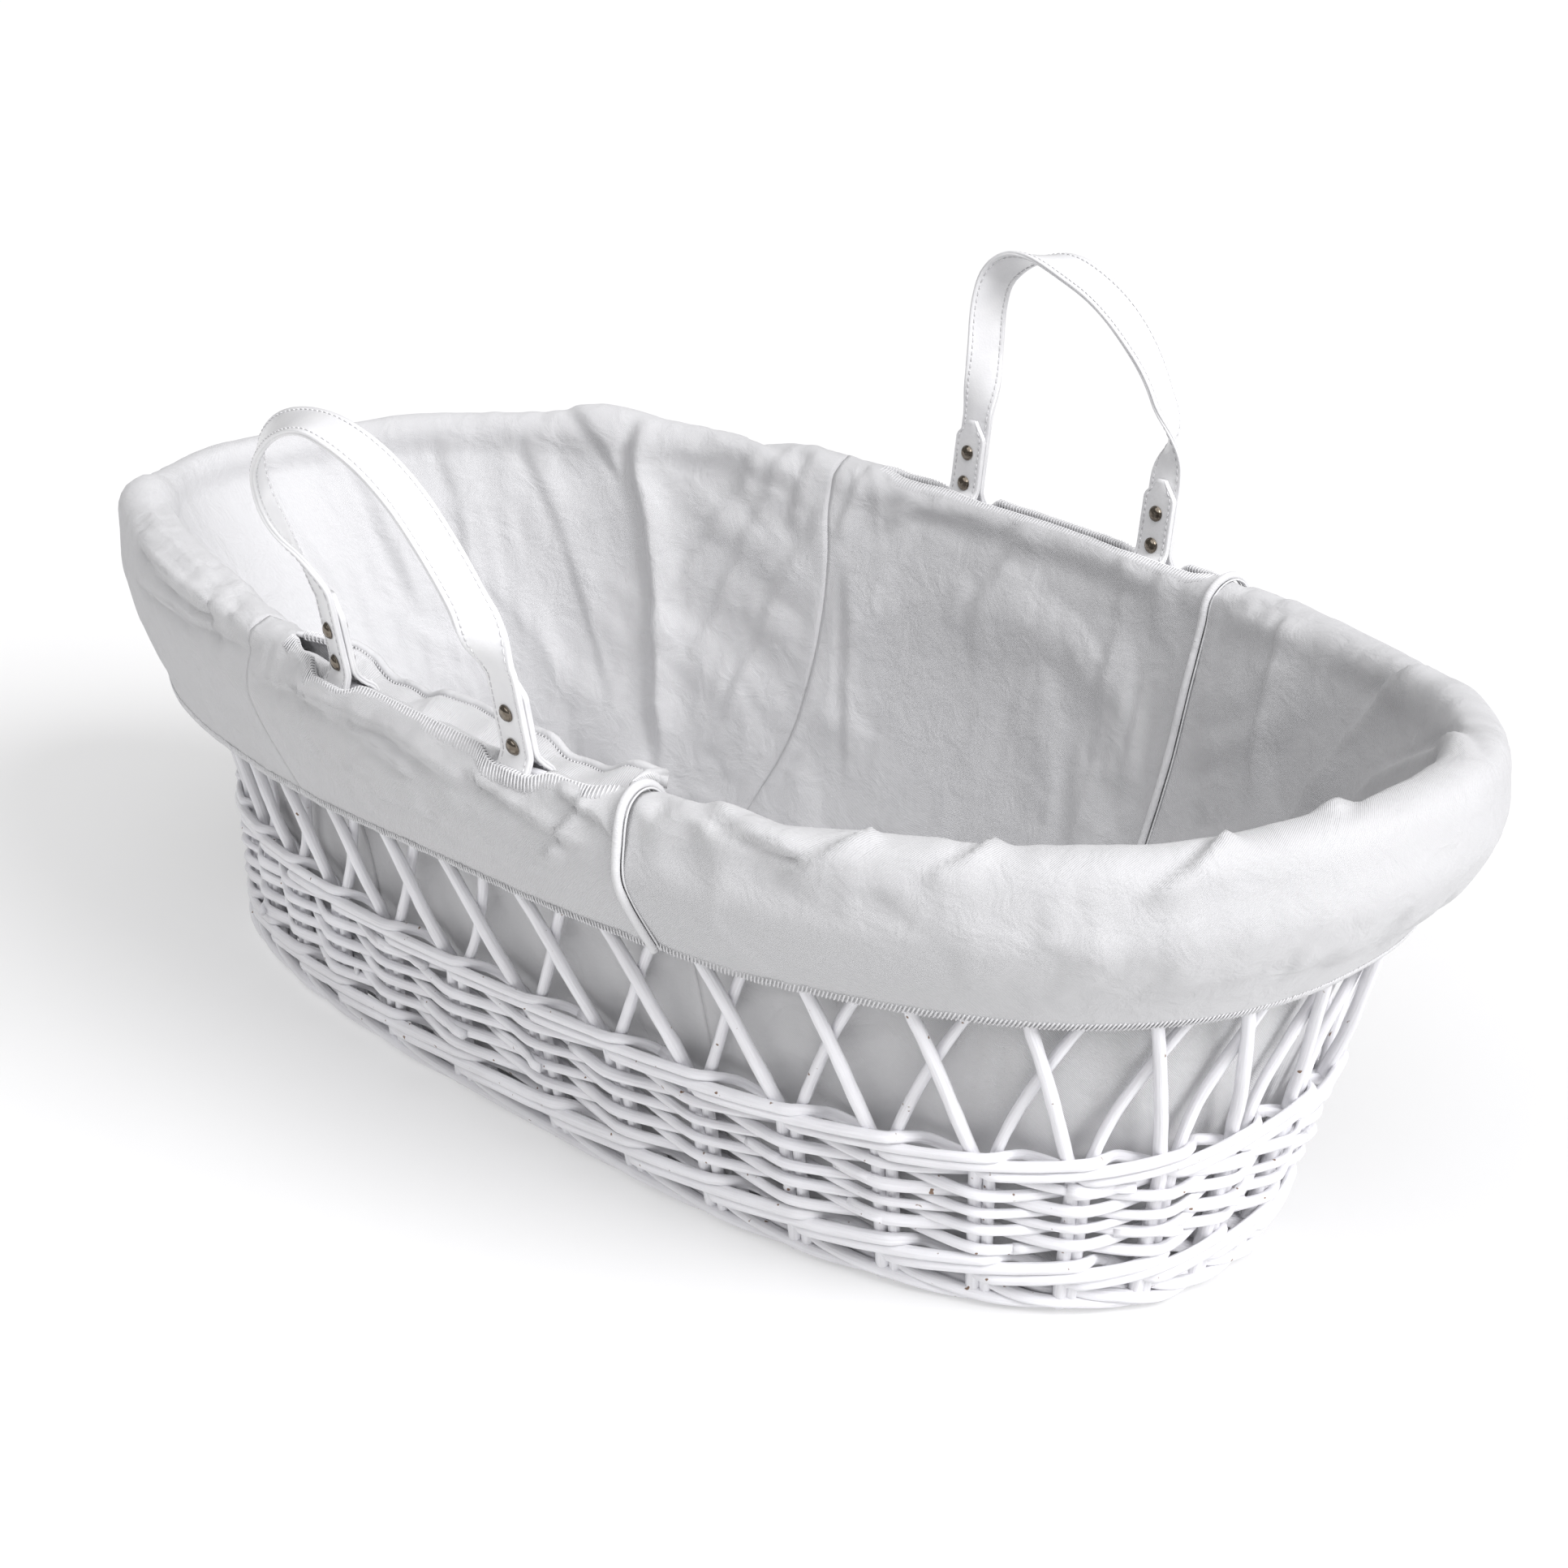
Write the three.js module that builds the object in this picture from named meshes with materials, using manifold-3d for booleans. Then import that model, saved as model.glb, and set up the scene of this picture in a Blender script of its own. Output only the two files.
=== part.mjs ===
// Moses basket: a woven willow body, a padded cloth liner that rolls over the rim, a mattress,
// and two riveted strap handles. Millimetres, +Z up, origin on the ground under the middle of the
// rim. The basket is long in X: the head end is -X and the foot end is +X.
import * as THREE from 'three';
import { mergeVertices } from 'three/addons/utils/BufferGeometryUtils.js';
import Module from 'manifold-3d';

const wasm = await Module();
wasm.setup();

// ---------------------------------------------------------------- driving dimensions
const GAP = 0.3;                 // clearance kept between touching pieces
const ROD_R = 3.1;               // willow stake radius
const WALL_HALF = 8;             // half of the woven wall's thickness
const STAKE_SIDES = 5;
const PAIRS = 36;                // stakes stand in pairs round the wall
const PAIR_PHASE = 0.62;         // where the first pair stands, in pair spacings past the foot
const PAIR_CROWDING = 0.14;      // pairs stand closer round the ends than along the sides
const PAIR_GAP = 5;              // distance between the two stakes of a pair where they leave the weave
const LEAN_BACK = 0.8;           // pair spacings that an outer stake leans clockwise up to the rim
const LEAN_ON = 1.15;            // pair spacings that an inner stake leans counter-clockwise
const HALF_LEAN = { back: 0.5, on: 0.62 }; // share of each lean reached half way up
const FOOT_H = 14;               // height of the foot border
const WALE_H = 16;               // height of the strong rows above and below the side weave
const BORDER_R = 6;              // radius of the top border
const LINER_T = 3.8;             // padded cloth thickness
const LINER_OUT = -10.8;         // liner's wall side, from the stakes' centre surface
const RIM_CLEAR = 14;            // border centre below the ridge of the padded roll
const SEAM_X = 168.7;            // side panel to foot panel seam, where the piping lies
const HEAD_SEAM_X = -100;        // side panel to head panel seam
const SLOT_X = [-80, 163];       // ends of the long handle slots
const LEG_X = { near: [-26, 101], far: [-19, 114] }; // handle legs along the rim
const STRAP_W = 20;
const STRAP_T = 3;
const JOINT_TILT = { near: 12, far: 6 };     // degrees the riveted ends lean outward at rest
const ARCH_LEAN = { near: 0.07, far: 0.21 }; // the arch leans further out by this much of its rise
const TIP_H = 52;                // pointed strap tip above the border's centre
const RIVET_H = [17, 34];        // rivets above the border's centre
const RIVET_R = 4.1;
const SHANK_R = 1.6;
const MATTRESS_H = 30;
const MATTRESS_IN = 22;          // mattress side from the stakes' centre surface
const MATTRESS_ROUND = [6, 9];   // how far its bottom and top edges are drawn in
const PIPING_R = 2.3;
const PIPING_CLEAR = 1.9;        // piping's underside off the cloth's middle run
const SEAM_GAP = 1.2;            // between two neighbouring cloth panels
const SKIRT_CLEAR = 2.6;         // skirt's lining stands off the stakes
const FLARE_EASE = 0.5;          // 0 turns sharply outward above the weave, 1 eases out smoothly

// The plan outlines: two superellipse halves that meet at x = mid.
const OUTLINE = {
  base: { mid: 10.5, head: 352.8, foot: 326.5, half: 137.6, nHead: 2.9, nFoot: 2.52 },
  band: { mid: 32.5, head: 377.9, foot: 330.4, half: 175.7, nHead: 2.22, nFoot: 2.54 },
  hem: { mid: 46.5, head: 421.7, foot: 340.5, half: 196.3, nHead: 2.42, nFoot: 2.4 },
  rim: { mid: 32.9, head: 448.0, foot: 382.2, half: 207.5, nHead: 1.96, nFoot: 2.3 },
};
const SHEER = 350;               // length unit of the height curves
const bandTop = (x) => 107.8 - 10 * ((x - 32.5) / SHEER) ** 2;
const ridgeHeight = (x) => 257.6 - 15 * (x / SHEER) + 17.2 * (x / SHEER) ** 3;
const hemHeight = (x) => 171.5 + 8 * (x / SHEER) - 6 * (x / SHEER) ** 2;

// ---------------------------------------------------------------- plan geometry
function planPoint(name, t) {
  const o = OUTLINE[name];
  const c = Math.cos(t);
  const s = Math.sin(t);
  const n = c < 0 ? o.nHead : o.nFoot;
  const a = c < 0 ? o.head : o.foot;
  const x = o.mid + a * Math.sign(c) * Math.abs(c) ** (2 / n);
  return new THREE.Vector3(x, o.half * Math.sign(s) * Math.abs(s) ** (2 / n), 0);
}

function planNormal(name, t) {
  const step = 0.01;
  const d = planPoint(name, t + step).sub(planPoint(name, t - step));
  return new THREE.Vector3(d.y, -d.x, 0).normalize();
}

// Angle on one side (-1 near, +1 far) where the named outline has the given x.
function paramAtX(name, x, side) {
  const o = OUTLINE[name];
  const reach = x < o.mid ? o.head : o.foot;
  const n = x < o.mid ? o.nHead : o.nFoot;
  const c = Math.sign(x - o.mid) * (Math.abs(x - o.mid) / reach) ** (n / 2);
  const t = Math.acos(c);
  return side > 0 ? t : 2 * Math.PI - t;
}

// Angle at a fraction of the way round the band outline, measured by length from the foot.
const LENGTH_STEPS = 720;
const lengths = [0];
for (let i = 1; i <= LENGTH_STEPS; i += 1) {
  const a = planPoint('band', (2 * Math.PI * (i - 1)) / LENGTH_STEPS);
  const b = planPoint('band', (2 * Math.PI * i) / LENGTH_STEPS);
  lengths.push(lengths[i - 1] + a.distanceTo(b));
}
function paramAtFraction(fraction) {
  const turns = Math.floor(fraction);
  const target = (fraction - turns) * lengths[LENGTH_STEPS];
  let i = 1;
  while (lengths[i] < target) i += 1;
  const part = (target - lengths[i - 1]) / (lengths[i] - lengths[i - 1]);
  return 2 * Math.PI * (turns + (i - 1 + part) / LENGTH_STEPS);
}

function borderCentre(t) {
  const p = planPoint('rim', t);
  p.z = ridgeHeight(p.x) - RIM_CLEAR;
  return p;
}

// A point on the wall: `out` is measured from the surface through the stakes' centres.
function wall(t, z, out) {
  const foot = planPoint('base', t).addScaledVector(planNormal('base', t), -WALL_HALF);
  const waist = planPoint('band', t).addScaledVector(planNormal('band', t), -WALL_HALF);
  const rim = borderCentre(t);
  const zWaist = bandTop(waist.x);
  const zRim = rim.z;
  const low = waist.clone().sub(foot).divideScalar(zWaist);
  const high = rim.clone().setZ(0).sub(waist).divideScalar(zRim - zWaist);
  const p = foot.addScaledVector(low, Math.min(z, zWaist));
  if (z > zWaist) {
    const bend = high.clone().sub(low).multiplyScalar(FLARE_EASE / (zRim - zWaist));
    p.addScaledVector(high, z - zWaist).addScaledVector(bend, (z - zWaist) * (z - zRim));
  }
  p.addScaledVector(planNormal('band', t), out);
  p.z = z;
  return p;
}

// ---------------------------------------------------------------- solids
function geometryFrom(points, faces) {
  const geometry = new THREE.BufferGeometry().setFromPoints(points);
  geometry.setIndex(faces.flat());
  geometry.computeVertexNormals();
  return geometry;
}

function signedVolume(points, faces) {
  const cross = new THREE.Vector3();
  return faces.reduce((sum, [a, b, c]) => sum + points[a].dot(cross.crossVectors(points[b], points[c])), 0);
}

// Closes a run of equal sections into a solid: round in a ring, or capped at both ends.
function loft(sections, ring) {
  const count = sections[0].length;
  const points = sections.flat();
  const faces = [];
  const spans = ring ? sections.length : sections.length - 1;
  for (let i = 0; i < spans; i += 1) {
    const a = i * count;
    const b = ((i + 1) % sections.length) * count;
    for (let j = 0; j < count; j += 1) {
      const k = (j + 1) % count;
      faces.push([a + j, b + j, b + k], [a + j, b + k, a + k]);
    }
  }
  if (!ring) {
    const last = (sections.length - 1) * count;
    capFaces(count).forEach(([a, b, c]) => faces.push([a, b, c], [last + c, last + b, last + a]));
  }
  if (signedVolume(points, faces) < 0) faces.forEach((face) => face.reverse());
  return geometryFrom(points, faces);
}

// Triangles across a section, laddered between its two long sides from the first point on.
function capFaces(count) {
  const faces = [];
  for (let i = 0, j = count - 1; i + 1 < j; i += 1, j -= 1) {
    faces.push([i, i + 1, j]);
    if (i + 1 < j - 1) faces.push([i + 1, j - 1, j]);
  }
  return faces;
}

function tube(points, radius, sides, steps) {
  const section = new THREE.Shape();
  for (let i = 0; i < sides; i += 1) {
    const a = (2 * Math.PI * i) / sides;
    if (i === 0) section.moveTo(radius, 0);
    else section.lineTo(radius * Math.cos(a), radius * Math.sin(a));
  }
  const extrudePath = new THREE.CatmullRomCurve3(points);
  return new THREE.ExtrudeGeometry(section, { steps, extrudePath });
}

// A rod through a few points, its sections square to the run and its two ends level.
function rod(points, outwards, radius, sides) {
  const sections = points.map((p, i) => {
    const isEnd = i === 0 || i === points.length - 1;
    const run = isEnd ? new THREE.Vector3(0, 0, 1) : points[i + 1].clone().sub(points[i - 1]).normalize();
    const off = outwards[i].clone().addScaledVector(run, -outwards[i].dot(run)).normalize();
    const across = new THREE.Vector3().crossVectors(run, off);
    return Array.from({ length: sides }, (_, k) => {
      const a = (2 * Math.PI * (k + 0.5)) / sides;
      return p.clone().addScaledVector(off, radius * Math.cos(a)).addScaledVector(across, radius * Math.sin(a));
    });
  });
  return loft(sections, false);
}

function solid(geometry) {
  const bare = geometry.clone();
  bare.deleteAttribute('normal');
  bare.deleteAttribute('uv');
  const merged = mergeVertices(bare, 1e-4);
  const vertProperties = Float32Array.from(merged.attributes.position.array);
  const triVerts = Uint32Array.from(merged.index.array);
  return new wasm.Manifold(new wasm.Mesh({ numProp: 3, vertProperties, triVerts }));
}

function geometryOf(manifold) {
  const { vertProperties, triVerts } = manifold.getMesh();
  const geometry = new THREE.BufferGeometry();
  geometry.setAttribute('position', new THREE.BufferAttribute(vertProperties, 3));
  geometry.setIndex(new THREE.BufferAttribute(triVerts, 1));
  geometry.computeVertexNormals();
  return geometry;
}

// ---------------------------------------------------------------- materials
const finish = (color, roughness, metalness = 0) => new THREE.MeshStandardMaterial({ color, roughness, metalness });
const WILLOW = finish(0xe9e7ee, 0.45);
const CLOTH = finish(0xf1f0f4, 0.9);
const STRAP = finish(0xf6f6f6, 0.35);
const NICKEL = finish(0x8d8984, 0.3, 0.9);

const basket = new THREE.Group();
function add(name, geometry, material) {
  const mesh = new THREE.Mesh(geometry, material);
  mesh.name = name;
  basket.add(mesh);
  return mesh;
}

// ---------------------------------------------------------------- woven body
const RING_STEPS = 48;
function wallRing(corners) {
  const sections = [];
  for (let i = 0; i < RING_STEPS; i += 1) {
    sections.push(corners(paramAtFraction(i / RING_STEPS)));
  }
  return loft(sections, true);
}

// A ring of woven rows between two heights. The stakes' lower ends run inside it.
function rowRing(lowZ, highZ, half) {
  return wallRing((t) => {
    const x = planPoint('band', t).x;
    const low = lowZ(x);
    const high = highZ(x);
    return [wall(t, low, -WALL_HALF), wall(t, low, half), wall(t, high, half), wall(t, high, -WALL_HALF)];
  });
}

function footBorder() {
  const half = WALL_HALF;
  const bevel = 3;
  const profile = [
    [-half, 0], [half - bevel, 0], [half, bevel], [half, FOOT_H - bevel], [half - bevel, FOOT_H], [-half, FOOT_H],
  ];
  return wallRing((t) => profile.map(([out, z]) => wall(t, 0, out).setZ(z)));
}

function topBorder() {
  const sides = 6;
  return wallRing((t) => {
    const centre = borderCentre(t);
    const outward = planNormal('rim', t);
    return Array.from({ length: sides }, (_, i) => {
      const a = (2 * Math.PI * (i + 0.5)) / sides;
      return centre.clone().addScaledVector(outward, BORDER_R * Math.cos(a))
        .add(new THREE.Vector3(0, 0, BORDER_R * Math.sin(a)));
    });
  });
}

// Length fraction of a stake pair: evenly counted, but crowded towards the two ends.
function pairFraction(index) {
  let fraction = (index + PAIR_PHASE) / PAIRS;
  for (let i = 0; i < 12; i += 1) {
    const crowd = (PAIR_CROWDING / (4 * Math.PI)) * Math.sin(4 * Math.PI * fraction);
    fraction = (index + PAIR_PHASE) / PAIRS - crowd;
  }
  return fraction;
}

// Moves a stake's top along the rim, clear of the strap loops round the border.
function clearOfLoops(t) {
  const clear = STRAP_W / 2 + 10;
  const p = planPoint('rim', t);
  const side = Math.sign(p.y);
  const leg = LEG_X[side > 0 ? 'far' : 'near'].find((x) => Math.abs(p.x - x) < clear);
  if (leg === undefined || Math.abs(p.y) < OUTLINE.rim.half / 2) return t;
  const turned = ((t % (2 * Math.PI)) + 2 * Math.PI) % (2 * Math.PI);
  return paramAtX('rim', leg + (p.x < leg ? -clear : clear), side) + (t - turned);
}

// One stake of the open lattice, from the top of the weave to the underside of the border.
function stake(pair, direction) {
  const at = (spacings) => paramAtFraction(pairFraction(pair + direction * spacings) + 1);
  const lean = direction > 0 ? LEAN_ON : LEAN_BACK;
  const early = direction > 0 ? HALF_LEAN.on : HALF_LEAN.back;
  const base = paramAtFraction(pairFraction(pair) + (direction * PAIR_GAP) / 2 / lengths[LENGTH_STEPS] + 1);
  const middle = at(lean * early);
  const top = clearOfLoops(at(lean));
  const waistZ = bandTop(planPoint('band', base).x) + GAP;
  const topZ = borderCentre(top).z - BORDER_R - 2 * GAP;
  const stations = [[base, waistZ + 2.5 * GAP], [middle, (waistZ + topZ) / 2], [top, topZ]];
  const outwards = stations.map(([t]) => planNormal('band', t));
  return rod(stations.map(([t, z]) => wall(t, z, 0)), outwards, ROD_R, STAKE_SIDES);
}

function stakeLattice() {
  let lattice = solid(stake(0, -1));
  for (let pair = 0; pair < PAIRS; pair += 1) {
    if (pair > 0) lattice = lattice.add(solid(stake(pair, -1)));
    lattice = lattice.add(solid(stake(pair, 1)));
  }
  return geometryOf(lattice);
}

// Oval plate following the base outline, offset outward by `out` at each height in the list.
function ovalPlate(levels) {
  const points = [];
  const faces = [];
  levels.forEach(([z, out]) => {
    for (let i = 0; i < RING_STEPS; i += 1) points.push(wall(paramAtFraction(i / RING_STEPS), 0, out).setZ(z));
  });
  for (let k = 0; k < levels.length - 1; k += 1) {
    for (let i = 0; i < RING_STEPS; i += 1) {
      const a = k * RING_STEPS + i;
      const b = k * RING_STEPS + ((i + 1) % RING_STEPS);
      faces.push([a, b, b + RING_STEPS], [a, b + RING_STEPS, a + RING_STEPS]);
    }
  }
  const last = (levels.length - 1) * RING_STEPS;
  for (let i = 1; i < RING_STEPS - 1; i += 1) {
    faces.push([0, i + 1, i], [last, last + i, last + i + 1]);
  }
  return geometryFrom(points, faces);
}

const STICK_R = 4;
const STICK_Z = 5;
function baseStick(x) {
  const t = paramAtX('base', x, 1);
  const reach = wall(t, 0, -WALL_HALF - STICK_R - 2).y;
  const stick = new THREE.CylinderGeometry(STICK_R, STICK_R, 2 * reach, 10);
  stick.translate(x, 0, STICK_Z);
  return stick;
}

const PLATE_Z = STICK_Z + STICK_R + GAP;
const PLATE_T = 3.6;
const rowStart = FOOT_H + GAP;
add('foot_border', footBorder(), WILLOW);
add('base_weave', ovalPlate([[PLATE_Z, -WALL_HALF - 0.6], [PLATE_Z + PLATE_T, -WALL_HALF - 0.6]]), WILLOW);
[-230, -140, -50, 50, 140, 230].forEach((x, i) => {
  add(`base_stick_${i + 1}`, baseStick(x), WILLOW);
});
add('lower_wale', rowRing(() => rowStart, () => rowStart + WALE_H, WALL_HALF + 1), WILLOW);
add('side_weave', rowRing(() => rowStart + WALE_H + GAP, (x) => bandTop(x) - WALE_H - GAP, WALL_HALF), WILLOW);
add('upper_wale', rowRing((x) => bandTop(x) - WALE_H, (x) => bandTop(x), WALL_HALF + 0.6), WILLOW);
add('stake_lattice', stakeLattice(), WILLOW);
add('top_border', topBorder(), WILLOW);

// ---------------------------------------------------------------- padded liner
const WALL_FOOT_Z = 17.5;
const ROLL_SHOWN = [[-17.5, -8], [-14.5, 6], [-6, 13.2], [3, 14], [10.5, 9], [14.1, -4], [14.1, -26]];
const ROLL_HIDDEN = [[12.2, -26], [12.6, -4], [9.8, 6.7], [0, 10.5], [-10.5, 7.5], [-13.6, -8]];

function rollPoint(t, [out, up]) {
  return borderCentre(t).addScaledVector(planNormal('rim', t), out).add(new THREE.Vector3(0, 0, up));
}

// How far the skirt's hem stands out from the stakes' centre surface.
function skirtOut(t) {
  const hem = planPoint('hem', t);
  const z = hemHeight(hem.x);
  const reach = hem.clone().setZ(z).sub(wall(t, z, 0)).dot(planNormal('band', t));
  return { z, out: Math.max(ROD_R + SKIRT_CLEAR + LINER_T, reach) };
}

function shownSide(t) {
  const face = LINER_OUT - LINER_T;
  const rimZ = borderCentre(t).z;
  const waistZ = bandTop(planPoint('band', t).x);
  const hem = skirtOut(t);
  return [
    wall(t, WALL_FOOT_Z, face), wall(t, waistZ, face), wall(t, rimZ - 40, face - 1.5),
    ...ROLL_SHOWN.map((p) => rollPoint(t, p)),
    wall(t, hem.z, hem.out),
  ];
}

function hiddenSide(t) {
  const rimZ = borderCentre(t).z;
  const waistZ = bandTop(planPoint('band', t).x);
  const hem = skirtOut(t);
  return [
    wall(t, hem.z, hem.out - LINER_T),
    ...ROLL_HIDDEN.map((p) => rollPoint(t, p)),
    wall(t, rimZ - 40, LINER_OUT - 1.5), wall(t, waistZ, LINER_OUT),
    wall(t, WALL_FOOT_Z, LINER_OUT),
  ];
}

function linerPanel(start, end, steps) {
  const sections = [];
  for (let i = 0; i <= steps; i += 1) {
    const t = start + ((end - start) * i) / steps;
    sections.push([...shownSide(t), ...hiddenSide(t)]);
  }
  return loft(sections, false);
}

// The space that a handle slot leaves along the ridge, deeper where the strap legs pass.
function slotCutter(side) {
  const notch = STRAP_W / 2 + 5;
  const legs = LEG_X[side > 0 ? 'far' : 'near'];
  const stations = [SLOT_X[0], -58];
  legs.forEach((x) => stations.push(x - notch - 4, x - notch, x + notch, x + notch + 4));
  stations.push(SLOT_X[1] - 12, SLOT_X[1]);
  const sections = stations.map((x, i) => {
    const atLeg = legs.some((leg) => Math.abs(x - leg) <= notch + 0.1);
    const nearEnd = i === 0 || i === stations.length - 1;
    const inner = atLeg ? -3.5 : nearEnd ? 4 : -1;
    const outer = atLeg ? 1.5 : nearEnd ? 9 : 6;
    const t = paramAtX('rim', x, side);
    const outline = [[-24, inner], [-3, inner], [3, outer], [26, outer], [26, 26], [-24, 26]];
    return outline.map((p) => rollPoint(t, p));
  });
  return solid(loft(sections, false));
}

const seamTurn = (t) => SEAM_GAP / 2 / planPoint('rim', t).length();
const footFar = paramAtX('rim', SEAM_X, 1);
const footNear = paramAtX('rim', SEAM_X, -1);
const headFar = paramAtX('rim', HEAD_SEAM_X, 1);
const headNear = paramAtX('rim', HEAD_SEAM_X, -1);
const inset = (start, end, steps) => linerPanel(start + seamTurn(start), end - seamTurn(end), steps);

add('liner_foot', inset(footNear - 2 * Math.PI, footFar, 16), CLOTH);
add('liner_head', inset(headFar, headNear, 20), CLOTH);
add('liner_side_far', geometryOf(solid(inset(footFar, headFar, 8)).subtract(slotCutter(1))), CLOTH);
add('liner_side_near', geometryOf(solid(inset(headNear, footNear, 8)).subtract(slotCutter(-1))), CLOTH);

const LINER_FLOOR_Z = PLATE_Z + PLATE_T + GAP;
const LINER_FLOOR_T = 2;
add('liner_floor', ovalPlate([[LINER_FLOOR_Z, -11], [LINER_FLOOR_Z + LINER_FLOOR_T, -11]]), CLOTH);

function piping(t) {
  const shown = shownSide(t);
  const outward = planNormal('rim', t);
  const lift = PIPING_R + PIPING_CLEAR;
  const path = shown.map((p, i) => {
    const a = shown[Math.max(i - 1, 0)];
    const b = shown[Math.min(i + 1, shown.length - 1)];
    const run = b.clone().sub(a);
    const off = new THREE.Vector3(0, 0, 1).multiplyScalar(run.dot(outward)).addScaledVector(outward, -run.z);
    return p.clone().addScaledVector(off.normalize(), lift);
  });
  return tube(path, PIPING_R, 6, 26);
}
add('piping_far', piping(footFar), CLOTH);
add('piping_near', piping(footNear), CLOTH);

// ---------------------------------------------------------------- mattress
const MATTRESS_Z = LINER_FLOOR_Z + LINER_FLOOR_T + GAP;
const [bottomRound, topRound] = MATTRESS_ROUND;
add('mattress', ovalPlate([
  [MATTRESS_Z, -MATTRESS_IN - bottomRound], [MATTRESS_Z + bottomRound, -MATTRESS_IN],
  [MATTRESS_Z + MATTRESS_H - topRound, -MATTRESS_IN],
  [MATTRESS_Z + MATTRESS_H, -MATTRESS_IN - topRound],
]), CLOTH);

// ---------------------------------------------------------------- handles
// The frame of a handle: u runs along the border from the head-side leg, h up the tilted arch,
// o outward, all from the border's centre line.
function handleFrame(name, side) {
  const [start, end] = LEG_X[side > 0 ? 'far' : 'near'].map((x) => borderCentre(paramAtX('rim', x, side)));
  const u = end.clone().sub(start).normalize();
  const upright = new THREE.Vector3(0, 0, 1).addScaledVector(u, -u.z).normalize();
  const outward = new THREE.Vector3().crossVectors(u, upright).multiplyScalar(-side);
  const tilt = THREE.MathUtils.degToRad(JOINT_TILT[name]);
  const h = upright.clone().multiplyScalar(Math.cos(tilt)).addScaledVector(outward, Math.sin(tilt));
  const o = outward.clone().multiplyScalar(Math.cos(tilt)).addScaledVector(upright, -Math.sin(tilt));
  const place = (a, b, c) => start.clone().addScaledVector(u, a).addScaledVector(o, b).addScaledVector(h, c);
  return { u, o, h, place, span: start.distanceTo(end) };
}

const TIP_TAPER = 9;                         // length of the tip's point
const TIP_W = 4;                             // width left at its end
const LAYER = (STRAP_T + GAP) / 2;          // a layer's middle from the riveted joint's middle
const LOOP_CLEAR = 1.2;                      // between the border and the strap round it
const LOOP_R = BORDER_R + LOOP_CLEAR + STRAP_T / 2;
const LOOP_TOP = 12.2;                       // the two layers part here, above the border's centre

// Half of a leg's loop: from the joint down over one side of the border, as (o, h) points.
function loopSide(sign) {
  const points = [[sign * LAYER, TIP_H], [sign * LAYER, LOOP_TOP]];
  [52, 24, 0, -30, -60].forEach((deg) => {
    const a = THREE.MathUtils.degToRad(deg);
    points.push([sign * LOOP_R * Math.cos(a), LOOP_R * Math.sin(a)]);
  });
  return points;
}

// Each arch's middle line between its two riveted joints, as (u, h) points above the tips.
const ARCH = {
  near: [
    [-7, 64], [-18, 77], [-26, 95], [-23, 114], [-10, 130], [11, 143], [36, 150], [56, 148], [76, 140],
    [92, 127], [104, 110], [113, 93], [120, 75],
  ],
  far: [
    [-3, 70], [-8, 91], [-13, 112], [-12, 128], [0, 139], [22, 143], [48, 138], [74, 127], [97, 111],
    [115, 93], [128, 75],
  ],
};
const ARCH_ROLL = { near: 0, far: 0.6 };     // radians that the arch's broad face turns inward

// Sections of a flat strip: each station gives its middle, the strip's normal and its run.
function stripSections(stations) {
  return stations.map(({ middle, normal, run, width }) => {
    const across = run.clone().cross(normal).normalize().multiplyScalar((width ?? STRAP_W) / 2);
    const thick = normal.clone().normalize().multiplyScalar(STRAP_T / 2);
    return [[1, 1], [-1, 1], [-1, -1], [1, -1]].map(([a, b]) => (
      middle.clone().addScaledVector(across, a).addScaledVector(thick, b)
    ));
  });
}

function loopStations(frame, legU, towardArch) {
  const outer = loopSide(1);
  const inner = loopSide(-1);
  const path = [...outer, [0, -LOOP_R], ...inner.reverse()];
  const stations = path.map(([o, h], i) => {
    const a = path[Math.max(i - 1, 0)];
    const b = path[Math.min(i + 1, path.length - 1)];
    const run = frame.o.clone().multiplyScalar(b[0] - a[0]).addScaledVector(frame.h, b[1] - a[1]);
    const normal = frame.o.clone().multiplyScalar(a[1] - b[1]).addScaledVector(frame.h, b[0] - a[0]);
    return { middle: frame.place(legU, o, h), normal, run };
  });
  const tip = stations[stations.length - 1];
  tip.middle = frame.place(legU, -LAYER, TIP_H - TIP_TAPER);
  stations.push({ ...tip, middle: frame.place(legU, -LAYER, TIP_H), width: TIP_W });
  if (towardArch) {
    stations.reverse();
    stations.forEach((s) => s.run.negate());
  }
  return stations;
}

const TWIST_RISE = 36;                       // height over which the strap turns away from the rim
const EARLY_TWIST = 0.55;                    // share of the quarter turn made on the head-side leg
function archStations(frame, name) {
  const route = [[0, TIP_H], ...ARCH[name], [frame.span, TIP_H]];
  const curve = new THREE.CatmullRomCurve3(route.map(([a, h]) => new THREE.Vector3(a, h, 0)));
  const steps = 26;
  const stations = [];
  for (let i = 1; i < steps; i += 1) {
    const p = curve.getPointAt(i / steps);
    const d = curve.getTangentAt(i / steps);
    const rise = THREE.MathUtils.smoothstep(p.y, TIP_H, TIP_H + TWIST_RISE);
    const past = THREE.MathUtils.smoothstep(p.x, -20, 45);
    const turn = rise * (Math.PI / 2) * (EARLY_TWIST + (1 - EARLY_TWIST) * past)
      + ARCH_ROLL[name] * past * THREE.MathUtils.smoothstep(p.y, 90, 130);
    const archOut = frame.u.clone().multiplyScalar(-d.y).addScaledVector(frame.h, d.x);
    stations.push({
      middle: frame.place(p.x, LAYER + ARCH_LEAN[name] * Math.max(0, p.y - TIP_H), p.y),
      normal: frame.o.clone().multiplyScalar(Math.cos(turn)).addScaledVector(archOut, Math.sin(turn)),
      run: frame.u.clone().multiplyScalar(d.x).addScaledVector(frame.h, d.y),
    });
  }
  return stations;
}

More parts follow.
